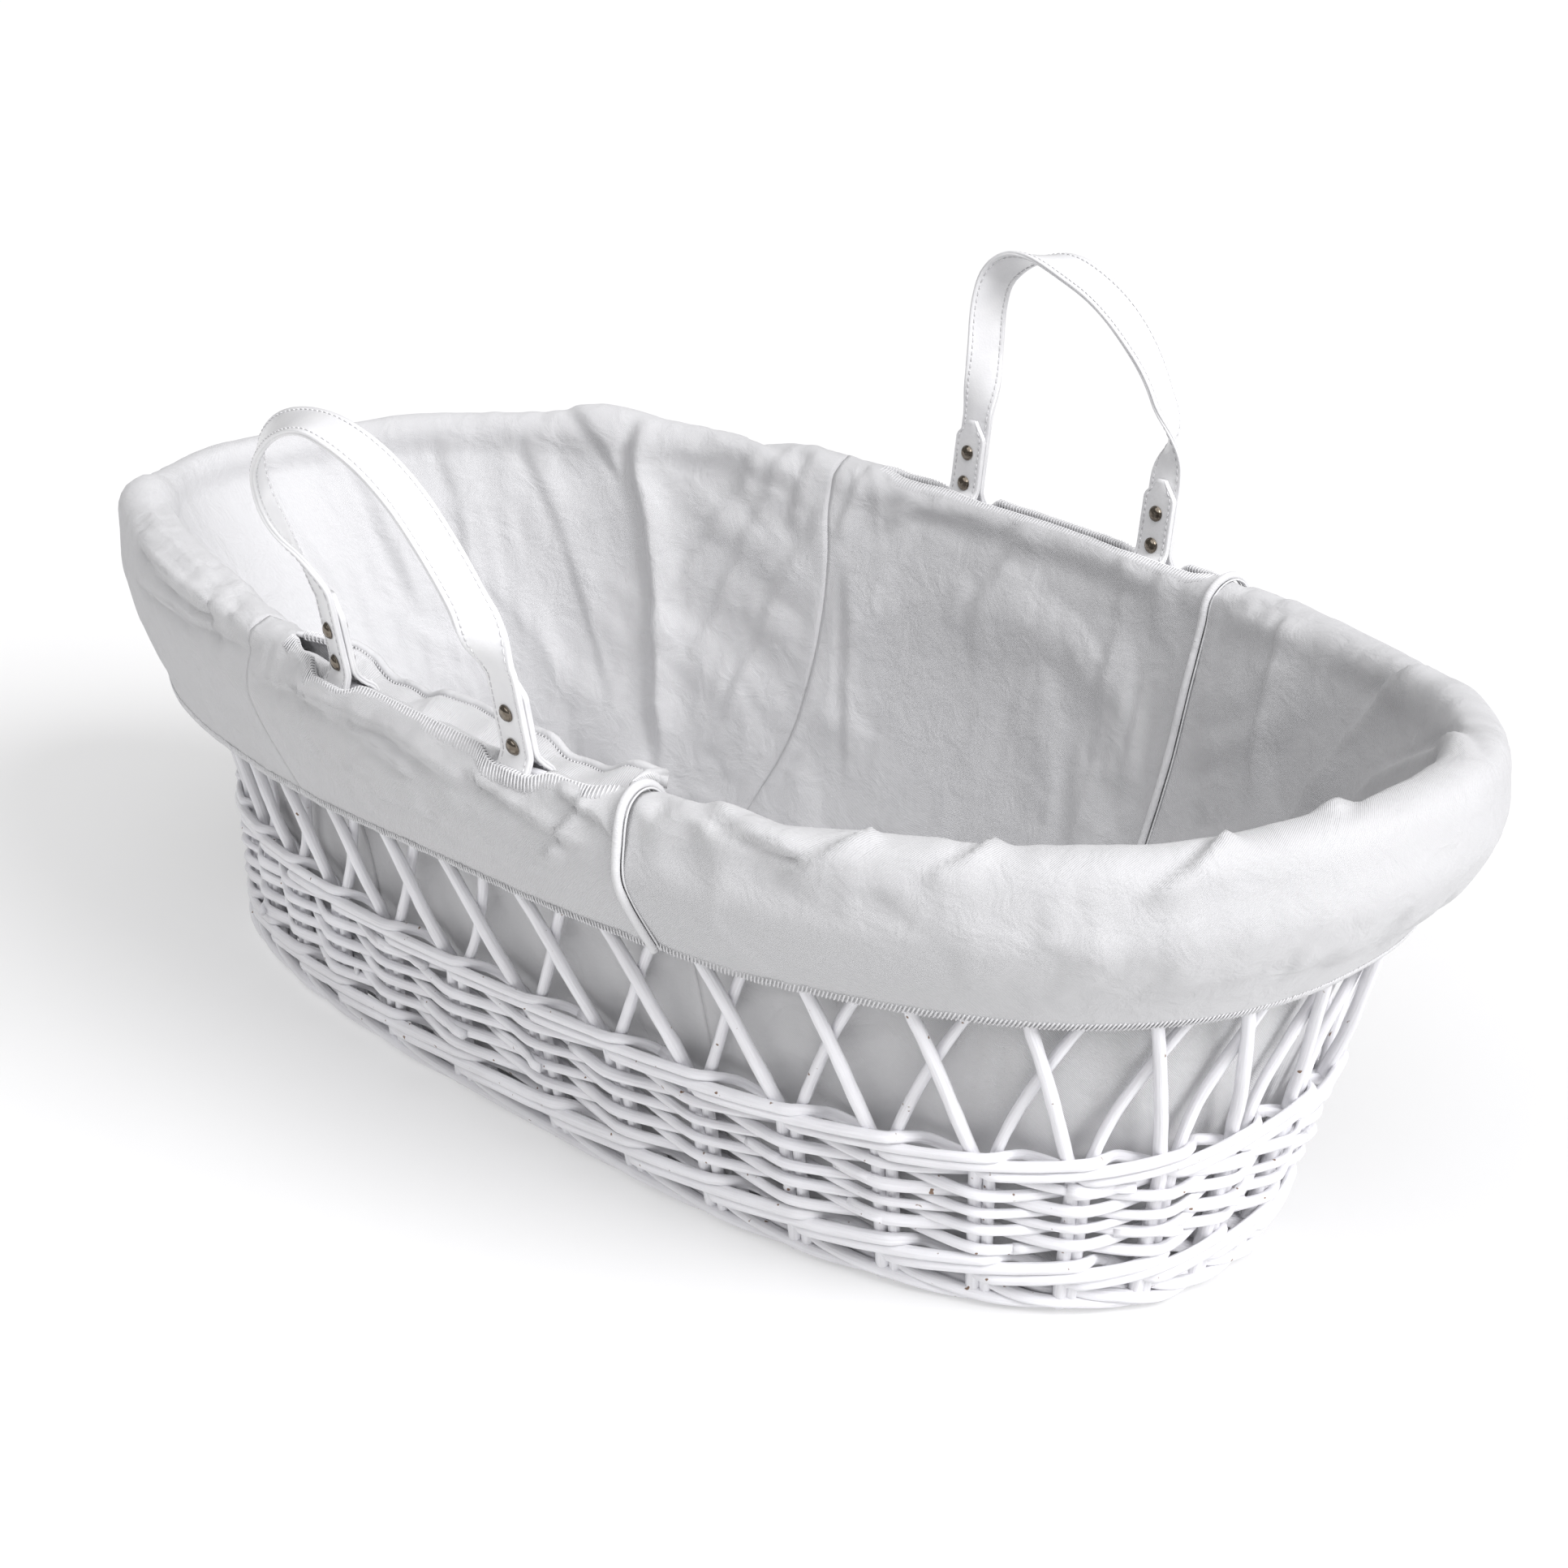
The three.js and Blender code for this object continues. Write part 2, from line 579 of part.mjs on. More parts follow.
function rivetAxis(frame, legU, h) {
  const turn = new THREE.Quaternion().setFromUnitVectors(new THREE.Vector3(0, 1, 0), frame.o);
  return new THREE.Matrix4().compose(frame.place(legU, 0, h), turn, new THREE.Vector3(1, 1, 1));
}

function handleStrap(frame, name) {
  const stations = [
    ...loopStations(frame, 0, true), ...archStations(frame, name), ...loopStations(frame, frame.span, false),
  ];
  let strap = solid(loft(stripSections(stations), false));
  [0, frame.span].forEach((legU) => RIVET_H.forEach((h) => {
    const hole = new THREE.CylinderGeometry(SHANK_R + GAP, SHANK_R + GAP, 4 * STRAP_T, 8);
    strap = strap.subtract(solid(hole.applyMatrix4(rivetAxis(frame, legU, h))));
  }));
  return geometryOf(strap);
}

function rivet() {
  const face = STRAP_T + GAP / 2 + GAP;      // cap's flat side from the joint's middle
  const dome = [[RIVET_R, 0], [RIVET_R * 0.75, 1.7], [0, 2.4]];
  const half = dome.map(([r, y]) => new THREE.Vector2(r, face + y));
  const lower = half.map((p) => new THREE.Vector2(p.x, -p.y)).reverse();
  const profile = [...lower, new THREE.Vector2(SHANK_R, -face), new THREE.Vector2(SHANK_R, face), ...half];
  return new THREE.LatheGeometry(profile, 8);
}

const legNames = ['head', 'foot'];
const rowNames = ['lower', 'upper'];
[['near', -1], ['far', 1]].forEach(([name, side]) => {
  const frame = handleFrame(name, side);
  add(`handle_strap_${name}`, handleStrap(frame, name), STRAP);
  [0, frame.span].forEach((legU, leg) => RIVET_H.forEach((h, row) => {
    const piece = add(`rivet_${name}_${legNames[leg]}_${rowNames[row]}`, rivet(), NICKEL);
    piece.applyMatrix4(rivetAxis(frame, legU, h));
  }));
});

export default basket;
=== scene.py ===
import math
import bpy
import numpy as np
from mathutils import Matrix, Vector


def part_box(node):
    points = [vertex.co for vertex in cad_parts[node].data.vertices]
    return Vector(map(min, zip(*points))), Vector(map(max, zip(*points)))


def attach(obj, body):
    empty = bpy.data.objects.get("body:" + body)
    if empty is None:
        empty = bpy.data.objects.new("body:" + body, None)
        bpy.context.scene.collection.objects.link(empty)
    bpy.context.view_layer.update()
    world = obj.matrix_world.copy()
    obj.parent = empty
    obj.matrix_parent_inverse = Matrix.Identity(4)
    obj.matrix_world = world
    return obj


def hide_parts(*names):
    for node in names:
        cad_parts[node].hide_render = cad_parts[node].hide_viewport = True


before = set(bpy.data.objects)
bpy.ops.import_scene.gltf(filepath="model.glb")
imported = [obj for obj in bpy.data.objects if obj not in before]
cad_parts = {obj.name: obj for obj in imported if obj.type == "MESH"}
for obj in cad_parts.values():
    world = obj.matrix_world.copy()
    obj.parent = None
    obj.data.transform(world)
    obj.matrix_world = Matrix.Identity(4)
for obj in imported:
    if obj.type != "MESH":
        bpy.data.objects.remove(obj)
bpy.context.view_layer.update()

MM = 0.001
TAU = 2 * math.pi
scene = bpy.context.scene

# ------------------------------------------------------------------ camera, floor, light
CAMERA_AT = (1.0192, -0.9428, 0.7195)
CAMERA_TO = (0.0504, 0.0, 0.162)
CAMERA_LENS, SENSOR = 66.98, 36          # millimetres
FLOOR_HALF = 9                           # metres


def look(obj, at, to):
    """Places obj at a point with its -Z axis towards another point and its top upwards."""
    obj.location = at
    obj.rotation_euler = (Vector(to) - Vector(at)).to_track_quat("-Z", "Y").to_euler()


camera_data = bpy.data.cameras.new("camera")
camera_data.lens = CAMERA_LENS
camera_data.sensor_width = SENSOR
camera_data.clip_end = 60
camera = bpy.data.objects.new("camera", camera_data)
scene.collection.objects.link(camera)
look(camera, CAMERA_AT, CAMERA_TO)
scene.camera = camera
scene.view_settings.view_transform = "Standard"

world = bpy.data.worlds.new("studio")
world.use_nodes = True
sky = world.node_tree.nodes["Background"].inputs
sky["Color"].default_value = (1.0, 0.99, 0.985, 1)
sky["Strength"].default_value = 0.26
scene.world = world


def sun_light(name, direction, power, spread, color):
    """A soft, even light that comes from a direction; `spread` is its width in degrees."""
    data = bpy.data.lights.new(name, "SUN")
    data.energy = power
    data.angle = math.radians(spread)
    data.color = color
    light = bpy.data.objects.new(name, data)
    scene.collection.objects.link(light)
    look(light, direction, (0, 0, 0))


sun_light("key_light", (1.0, 0.10, 0.74), 2.95, 34, (0.99, 0.985, 1.0))
sun_light("top_light", (0.25, -0.45, 1.0), 1.65, 70, (0.985, 0.985, 1.0))


# ------------------------------------------------------------------ materials
class Look:
    """A Principled material, built up node by node."""

    def __init__(self, name, color, roughness, **sockets):
        self.made = bpy.data.materials.new(name)
        self.made.use_nodes = True
        self.nodes, self.links = self.made.node_tree.nodes, self.made.node_tree.links
        self.inputs = self.nodes["Principled BSDF"].inputs
        self.inputs["Base Color"].default_value = (*color, 1)
        self.inputs["Roughness"].default_value = roughness
        for key, value in sockets.items():
            self.inputs[key.replace("_", " ")].default_value = value

    def node(self, kind, **values):
        made = self.nodes.new("ShaderNode" + kind)
        for key, value in values.items():
            if hasattr(made, key):
                setattr(made, key, value)
            else:
                made.inputs[key.replace("_", " ")].default_value = value
        return made

    def place(self):
        return self.node("TexCoord").outputs["Object"]

    def texture(self, kind, vector, **values):
        made = self.node("Tex" + kind, **values)
        self.links.new(vector, made.inputs["Vector"])
        return made.outputs[0]

    def noise(self, vector, scale, detail, **values):
        return self.texture("Noise", vector, Scale=scale, Detail=detail, **values)

    def ramp(self, source, *stops):
        """A colour ramp of two stops, fed by a socket."""
        made = self.node("ValToRGB")
        self.links.new(source, made.inputs[0])
        for element, (place, color) in zip(made.color_ramp.elements, stops):
            element.position = place
            element.color = (*color, 1)
        return made.outputs[0]

    def bump(self, height, strength, distance, before=None):
        made = self.node("Bump", Strength=strength, Distance=distance)
        self.links.new(height, made.inputs["Height"])
        if before is not None:
            self.links.new(before, made.inputs["Normal"])
        return made.outputs[0]

    def scaled(self, source, scale):
        mapping = self.node("Mapping", Scale=scale)
        self.links.new(source, mapping.inputs["Vector"])
        return mapping.outputs[0]

    def mixed(self, factor, a, b):
        mix = self.node("Mix", data_type="RGBA")
        self.links.new(factor, mix.inputs["Factor"])
        for socket, value in ((mix.inputs["A"], a), (mix.inputs["B"], b)):
            if isinstance(value, tuple):
                socket.default_value = (*value, 1)
            else:
                self.links.new(value, socket)
        return mix.outputs["Result"]

    def finish(self, color, normal=None):
        self.links.new(color, self.inputs["Base Color"])
        if normal is not None:
            self.links.new(normal, self.inputs["Normal"])
        return self.made


def willow_material():
    look = Look("painted_willow", (0.8, 0.8, 0.84), 0.42, Coat_Weight=0.25, Coat_Roughness=0.25)
    grain = look.node("Attribute", attribute_name="grain").outputs["Vector"]
    place = look.place()
    streaks = look.noise(look.scaled(grain, (0.03, 0.9, 0.9)), 1.0, 4.0, Roughness=0.6)
    blotch = look.noise(place, 22.0, 3.0)
    tone = look.ramp(streaks, (0.3, (0.72, 0.71, 0.735)), (0.62, (0.90, 0.90, 0.93)))
    shade = look.ramp(blotch, (0.35, (0.80, 0.795, 0.82)), (0.65, (0.91, 0.91, 0.94)))
    paint = look.mixed(blotch, tone, shade)
    chips = look.ramp(look.noise(place, 260.0, 1.0), (0.755, (0, 0, 0)), (0.79, (1, 1, 1)))
    bark = (0.22, 0.13, 0.08)
    rough = look.bump(streaks, 0.55, 0.0009)
    knots = look.noise(place, 90.0, 2.0)
    return look.finish(look.mixed(chips, paint, bark), look.bump(knots, 0.3, 0.0012, rough))


TWILL = 3600.0                           # ridges of the cotton's weave, in radians per metre


def cloth_material(name, color, dark, relief=0.35):
    """Brushed cotton: a fine diagonal weave over soft creases, with a little fuzz."""
    look = Look(name, color, 0.88, Sheen_Weight=0.25, Sheen_Roughness=0.5)
    place = look.place()
    flat = look.node("UVMap", uv_map="UVMap").outputs[0]
    weave = look.node("TexWave", wave_type="BANDS", bands_direction="DIAGONAL", Scale=TWILL / 6.28,
                      Distortion=1.2, Detail=2.0, Detail_Scale=3.0)
    look.links.new(flat, weave.inputs["Vector"])
    thread = look.noise(place, 1400.0, 2.0)
    soft = look.noise(place, 14.0, 5.0, Roughness=0.6)
    tone = look.ramp(soft, (0.3, dark), (0.7, color))
    creases = look.noise(place, 55.0, 4.0, Roughness=0.55, Distortion=0.6)
    wrinkles = look.noise(look.scaled(flat, (1.0, 0.45, 1.0)), 17.0, 3.0, Roughness=0.45, Distortion=0.9,
                          noise_type="RIDGED_MULTIFRACTAL")
    dents = look.bump(wrinkles, 0.5, 0.0034)
    dents = look.bump(creases, 0.45, 0.004, dents)
    dents = look.bump(weave.outputs[1], relief, 0.00045, dents)
    dents = look.bump(thread, 0.3, 0.0003, dents)
    return look.finish(look.mixed(thread, tone, color), dents)


def strap_material():
    look = Look("coated_strap", (0.86, 0.86, 0.87), 0.3, Coat_Weight=0.3, Coat_Roughness=0.2)
    place = look.place()
    pores = look.texture("Voronoi", place, Scale=900.0)
    waves = look.noise(place, 60.0, 3.0)
    tone = look.ramp(waves, (0.3, (0.77, 0.77, 0.785)), (0.7, (0.84, 0.84, 0.845)))
    return look.finish(tone, look.bump(waves, 0.2, 0.0006, look.bump(pores, 0.12, 0.0003)))


def thread_material():
    look = Look("sewing_thread", (0.84, 0.84, 0.85), 0.7)
    twist = look.noise(look.place(), 900.0, 2.0)
    tone = look.ramp(twist, (0.3, (0.64, 0.64, 0.65)), (0.7, (0.76, 0.76, 0.77)))
    return look.finish(tone, look.bump(twist, 0.4, 0.0003))


def nickel_material():
    # Nickel kept much darker than bare metal: painted dark reflection, with real tarnish varying its tone and
    # roughness.
    look = Look("nickel_with_painted_dark_reflection", (0.2, 0.17, 0.14), 0.16, Metallic=1.0)
    tarnish = look.noise(look.place(), 500.0, 3.0)
    wear = look.ramp(tarnish, (0.3, (0.12,) * 3), (0.8, (0.26,) * 3))
    look.links.new(wear, look.inputs["Roughness"])
    # Colour ramp: tarnish spots over a dark tone that paints in a dark reflection.
    return look.finish(look.ramp(tarnish, (0.35, (0.15, 0.125, 0.10)), (0.7, (0.27, 0.24, 0.20))))


def floor_material():
    look = Look("studio_floor", (0.55, 0.55, 0.55), 0.9, Specular_IOR_Level=0.1)
    look.inputs["Emission Color"].default_value = (1, 1, 1, 1)
    look.inputs["Emission Strength"].default_value = 0.345
    grain = look.node("TexNoise", Scale=6.0).outputs[0]
    return look.finish(look.ramp(grain, (0.3, (0.545,) * 3), (0.7, (0.555,) * 3)))


WILLOW = willow_material()
CLOTH = cloth_material("brushed_cotton", (0.615, 0.615, 0.625), (0.575, 0.575, 0.585), relief=0.45)
PIPING = cloth_material("piping_cotton", (0.70, 0.70, 0.71), (0.64, 0.64, 0.65), relief=0.12)
QUILT = cloth_material("mattress_cotton", (0.66, 0.66, 0.665), (0.61, 0.61, 0.62))
STRAP = strap_material()
THREAD = thread_material()
NICKEL = nickel_material()

floor_mesh = bpy.data.meshes.new("floor")
corners = [(x * FLOOR_HALF, y * FLOOR_HALF, 0) for x, y in ((-1, -1), (1, -1), (1, 1), (-1, 1))]
floor_mesh.from_pydata(corners, [], [(0, 1, 2, 3)])
floor = bpy.data.objects.new("floor", floor_mesh)
floor_mesh.materials.append(floor_material())
scene.collection.objects.link(floor)

# ------------------------------------------------------------------ plan geometry, in millimetres
WALL_HALF, ROD_R, LINER_T, LINER_OUT = 8.0, 3.1, 3.8, -10.8
PAIRS, PAIR_PHASE, PAIR_CROWDING = 36, 0.62, 0.14
RIM_CLEAR, SEAM_X, HEAD_SEAM_X = 14.0, 168.7, -100.0
SLOT_X = (-80.0, 163.0)
LEG_X = {"near": (-26.0, 101.0), "far": (-19.0, 114.0)}
# Outlines seen from above: middle x, reach to the head, reach to the foot, half width, and the power
# that squares off the head half and the foot half.
OUTLINE = {
    "base": (10.5, 352.8, 326.5, 137.6, 2.9, 2.52),
    "band": (32.5, 377.9, 330.4, 175.7, 2.22, 2.54),
    "hem": (46.5, 421.7, 340.5, 196.3, 2.42, 2.4),
    "rim": (32.9, 448.0, 382.2, 207.5, 1.96, 2.3),
}
UP = np.array([0.0, 0.0, 1.0])


def smooth(x, a, b):
    k = np.clip((np.asarray(x, float) - a) / (b - a), 0, 1)
    return k * k * (3 - 2 * k)


def unit(v):
    return v / np.maximum(np.linalg.norm(v, axis=-1, keepdims=True), 1e-12)


def plan(name, t):
    mid, head, foot, half, n_head, n_foot = OUTLINE[name]
    c, s = np.cos(t), np.sin(t)
    n = np.where(c < 0, n_head, n_foot)
    a = np.where(c < 0, head, foot)
    x = mid + a * np.sign(c) * np.abs(c) ** (2 / n)
    y = half * np.sign(s) * np.abs(s) ** (2 / n)
    return np.stack([x, y, np.zeros_like(x)], -1)


def normal(name, t):
    d = plan(name, t + 0.01) - plan(name, t - 0.01)
    return unit(np.stack([d[..., 1], -d[..., 0], np.zeros_like(d[..., 0])], -1))


def band_top(x):
    return 107.8 - 10 * ((x - 32.5) / 350) ** 2


def ridge_height(x):
    return 257.6 - 15 * (x / 350) + 17.2 * (x / 350) ** 3


def hem_height(x):
    return 171.5 + 8 * (x / 350) - 6 * (x / 350) ** 2


def param_at_x(name, x, side):
    mid, head, foot, _, n_head, n_foot = OUTLINE[name]
    reach, n = (head, n_head) if x < mid else (foot, n_foot)
    t = math.acos(math.copysign((abs(x - mid) / reach) ** (n / 2), x - mid))
    return t if side > 0 else TAU - t


def lengths(path):
    """Length along a path at each of its points."""
    return np.concatenate([[0], np.cumsum(np.linalg.norm(np.diff(path, axis=0), axis=1))])


def sample(places, s, values):
    """The columns of `values`, known at s, read at other places."""
    return np.stack([np.interp(places, s, values[:, k]) for k in range(values.shape[1])], -1)


TABLE_T = np.linspace(0, TAU, 2881)
BAND_S, RIM_S = lengths(plan("band", TABLE_T)), lengths(plan("rim", TABLE_T))
BAND_LENGTH, RIM_LENGTH = BAND_S[-1], RIM_S[-1]


def at(fraction):
    """Angle at a fraction of the band's length round from the foot."""
    turns = np.floor(fraction)
    return TAU * turns + np.interp((fraction - turns) * BAND_LENGTH, BAND_S, TABLE_T)


def rim_length(t):
    """Length round the rim from the foot to the angle t."""
    turns = np.floor(t / TAU)
    return turns * RIM_LENGTH + np.interp(t - TAU * turns, TABLE_T, RIM_S)


def pair_angle(index):
    """Angle of a stake pair, or of a place between two pairs."""
    index = np.asarray(index, float)
    fraction = (index + PAIR_PHASE) / PAIRS
    for _ in range(12):
        crowd = PAIR_CROWDING / (4 * math.pi) * np.sin(4 * math.pi * fraction)
        fraction = (index + PAIR_PHASE) / PAIRS - crowd
    return at(fraction)


def border(t):
    """Middle of the willow ring that the cloth rolls over."""
    p = plan("rim", t)
    p[..., 2] = ridge_height(p[..., 0]) - RIM_CLEAR
    return p


def wall(t, z, out):
    """Points of the basket's wall at height z, moved out from the middle of its stakes."""
    t = np.asarray(t, float)
    z = np.asarray(z, float) * np.ones(t.shape)
    out = np.asarray(out, float) * np.ones(t.shape)
    foot = plan("base", t) - WALL_HALF * normal("base", t)
    waist = plan("band", t) - WALL_HALF * normal("band", t)
    rim = border(t)
    z_waist, z_rim = band_top(waist[..., 0]), rim[..., 2]
    low = (waist - foot) / z_waist[..., None]
    flat_rim = rim * [1, 1, 0]
    high = (flat_rim - waist) / (z_rim - z_waist)[..., None]
    above = np.maximum(z - z_waist, 0)
    bend = (high - low) * (0.5 / (z_rim - z_waist))[..., None]
    p = foot + low * np.minimum(z, z_waist)[..., None] + high * above[..., None]
    p = p + bend * (above * np.minimum(z - z_rim, 0))[..., None]
    p = p + normal("band", t) * out[..., None]
    p[..., 2] = z
    return p


def roll(t, out, up):
    """Points beside the border's middle, moved outwards and upwards."""
    out, up = (np.asarray(v, float)[..., None] for v in (out, up))
    return border(t) + normal("rim", t) * out + UP * up


# ------------------------------------------------------------------ seeded smooth noise
def noise(x, y, seed):
    """Smooth noise from -1 to 1 on a plane; it repeats every 64 units both ways."""
    table = np.random.default_rng(seed).uniform(-1, 1, (64, 64))
    x, y = np.broadcast_arrays(np.asarray(x, float), np.asarray(y, float))
    i, j = np.floor(x).astype(int), np.floor(y).astype(int)
    u, v = x - i, y - j
    u, v = u * u * (3 - 2 * u), v * v * (3 - 2 * v)
    a, b = table[i % 64, j % 64], table[(i + 1) % 64, j % 64]
    c, d = table[i % 64, (j + 1) % 64], table[(i + 1) % 64, (j + 1) % 64]
    return (a * (1 - u) + b * u) * (1 - v) + (c * (1 - u) + d * u) * v


# ------------------------------------------------------------------ mesh building
class Build:
    """Collects vertices (mm), faces, a grain vector per vertex and a UV (metres) per vertex."""

    def __init__(self):
        self.verts, self.faces, self.grain, self.uv, self.count = [], [], [], [], 0

    def add(self, verts, faces, grain=None, uv=None):
        verts = np.asarray(verts, float).reshape(-1, 3)
        self.verts.append(verts)
        self.faces += [tuple(int(k) + self.count for k in face) for face in faces]
        for kept, given, width in ((self.grain, grain, 3), (self.uv, uv, 2)):
            kept.append(np.zeros((len(verts), width)) if given is None
                        else np.asarray(given, float).reshape(-1, width))
        self.count += len(verts)

    def make(self, name, finish, body, stands_for=()):
        verts = np.concatenate(self.verts) * MM
        mesh = bpy.data.meshes.new(name)
        mesh.from_pydata([tuple(v) for v in verts], [], self.faces)
        mesh.attributes.new("grain", "FLOAT_VECTOR", "POINT").data.foreach_set(
            "vector", np.concatenate(self.grain).astype(np.float32).ravel())
        loops = np.empty(len(mesh.loops), np.int32)
        mesh.loops.foreach_get("vertex_index", loops)
        uv = np.concatenate(self.uv)[loops]
        mesh.uv_layers.new(name="UVMap").data.foreach_set("uv", uv.astype(np.float32).ravel())
        mesh.materials.append(finish)
        mesh.polygons.foreach_set("use_smooth", [True] * len(mesh.polygons))
        mesh.update()
        obj = bpy.data.objects.new(name, mesh)
        scene.collection.objects.link(obj)
        if stands_for:
            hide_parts(*stands_for)
        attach(obj, body)
        return obj


def ring_faces(rings, sides, closed=False, flip=False):
    """Quads between neighbouring rings of `sides` points each."""
    i, j = np.meshgrid(np.arange(rings if closed else rings - 1), np.arange(sides), indexing="ij")
    n, k = (i + 1) % rings, (j + 1) % sides
    quads = np.stack([i * sides + j, i * sides + k, n * sides + k, n * sides + j], -1).reshape(-1, 4)
    return (quads[:, [0, 3, 2, 1]] if flip else quads).tolist()


def end_faces(rings, sides, flip=False):
    """The two faces that close a row of rings."""
    first = list(range(sides))
    last = [(rings - 1) * sides + j for j in first]
    return [first, last[::-1]] if flip else [first[::-1], last]


def tube(path, off, radius, sides=8, closed=False, flat=1.0, serial=0.0):
    """Vertices, faces and grain of a rod along a path. `off` keeps its section from twisting."""
    path = np.asarray(path, float)
    count = len(path)
    if closed:
        run = unit(np.roll(path, -1, 0) - np.roll(path, 1, 0))
    else:
        run = unit(np.gradient(path, axis=0))
    off = np.broadcast_to(off, path.shape)
    off = unit(off - run * np.sum(off * run, 1)[:, None])
    across = np.cross(run, off)
    radius = np.broadcast_to(radius, (count,))
    flat = np.broadcast_to(flat, (count,))
    a = TAU * np.arange(sides) / sides
    ring_out = np.cos(a)[None, :, None] * off[:, None] * (radius * flat)[:, None, None]
    ring_side = np.sin(a)[None, :, None] * across[:, None] * (radius / np.sqrt(flat))[:, None, None]
    verts = path[:, None] + ring_out + ring_side
    grain = np.stack(np.broadcast_arrays(
        lengths(path)[:, None] + serial * 173.0, np.cos(a)[None] * radius[:, None] + serial * 37.0,
        np.sin(a)[None] * radius[:, None]), -1)
    faces = ring_faces(count, sides, closed) + ([] if closed else end_faces(count, sides))
    return verts.reshape(-1, 3), faces, grain.reshape(-1, 3)


def spline(points, per):
    """A smooth curve through points (..., count, 3), `per` steps to each span."""
    points = np.asarray(points, float)
    d = np.linalg.norm(np.diff(points, axis=-2), axis=-1)[..., None]
    mid = (points[..., 2:, :] - points[..., :-2, :]) / (d[..., 1:, :] + d[..., :-1, :])
    first = (points[..., 1:2, :] - points[..., :1, :]) / d[..., :1, :]
    last = (points[..., -1:, :] - points[..., -2:-1, :]) / d[..., -1:, :]
    slope = np.concatenate([first, mid, last], -2)
    u = (np.arange(per) / per)[:, None]
    out = []
    for i in range(points.shape[-2] - 1):
        here, there = np.s_[..., i:i + 1, :], np.s_[..., i + 1:i + 2, :]
        a, b = points[here], points[there]
        ma, mb = slope[here] * d[here], slope[there] * d[here]
        out.append((2 * u ** 3 - 3 * u ** 2 + 1) * a + (u ** 3 - 2 * u ** 2 + u) * ma
                   + (3 * u ** 2 - 2 * u ** 3) * b + (u ** 3 - u ** 2) * mb)
    out.append(points[..., -1:, :])
    return np.concatenate(out, -2)


def resample(path, step):
    s = lengths(path)
    return sample(np.linspace(0, s[-1], max(int(round(s[-1] / step)), 2) + 1), s, path)


# ------------------------------------------------------------------ willow rods
rods = np.random.default_rng(20)
WEAVE_OUT = 5.8                  # how far a woven rod stands in front of a stake, or behind it
ROWS = 8
LOW_TOP = 37.0                   # height where the lower strong rows end
HIGH_DEPTH = 19.0                # depth of the upper strong rows
HEM_Z = 172.0                    # height where the cloth's hem hides the stakes


def rod_radius(count, thick, thin, seed):
    taper = np.linspace(thick, thin, count)
    return taper * (1 + 0.06 * noise(np.arange(count) * 0.35, seed * 1.7, 3))


def clear_of_loops(t):
    """Moves a stake's top along the rim, clear of the strap loops."""
    clear = 20.0
    p = plan("rim", np.array(t))
    side = 1 if p[1] > 0 else -1
    for leg in LEG_X["far" if side > 0 else "near"]:
        beside = abs(p[1]) > 103         # on a long side, not at the head or the foot
        if abs(p[0] - leg) < clear and beside:
            turns = math.floor(t / TAU) * TAU
            return turns + param_at_x("rim", leg + (-clear if p[0] < leg else clear), side)
    return t


def stakes():
    """Pairs of stakes: upright in the weave, then leaning both ways and crossing above it."""
    build = Build()
    for pair in range(PAIRS):
        for direction in (-1, 1):
            front = direction < 0
            shown, whole, bend = (0.62, 0.95, 1.12) if front else (0.66, 1.05, 1.3)
            shown *= 1 + rods.uniform(-0.09, 0.09)
            offset = direction * 3.4 / (BAND_LENGTH / PAIRS)
            start = float(band_top(plan("band", pair_angle(pair))[0])) - rods.uniform(13, 21)
            end = float(border(pair_angle(pair + direction * whole))[2]) - 4.5
            z = np.concatenate([[4, 30, 60, start - 8], np.linspace(start, HEM_Z, 11),
                                np.linspace(HEM_Z, end, 5)[1:]])
            lean = shown * np.clip((z - start) / (HEM_Z - start), 0, 1) ** bend
            hidden = np.clip((z - HEM_Z) / (end - HEM_Z), 0, 1)
            lean = lean + (whole - shown) * hidden
            t = pair_angle(pair + offset + direction * lean)
            t = t + (clear_of_loops(float(t[-1])) - t[-1]) * hidden ** 1.5
            side = 2.4 if front else -3.9
            rise = side * smooth(z, start, start + 40) * (1 - 0.75 * smooth(z, end - 20, end))
            serial = pair * 2 + front
            waver = 0.9 * noise(z / 40, serial * 3.1, 5) * smooth(z, start, start + 30)
            path = spline(wall(t, z, rise + waver), 3)
            thick, thin = (3.35, 2.9) if front else (3.0, 2.5)
            radius = rod_radius(len(path), thick * rods.uniform(0.92, 1.08), thin, serial)
            build.add(*tube(path, normal("band", t[0]), radius, 10, serial=serial))
    return build.make("willow_stakes", WILLOW, "basket", ["stake_lattice"])


def woven(p0, p1, out_of, z_of, thick, thin, serial, flat=1.0, per=9):
    """A rod woven along the wall from pair place p0 to p1."""
    p = np.linspace(p0, p1, int((p1 - p0) * per) + 1)
    t = pair_angle(p)
    path = wall(t, z_of(p, plan("band", t)[..., 0]), out_of(p))
    radius = rod_radius(len(p), thick, thin, serial)
    return tube(path, normal("band", t), radius, 8, flat=flat, serial=serial)


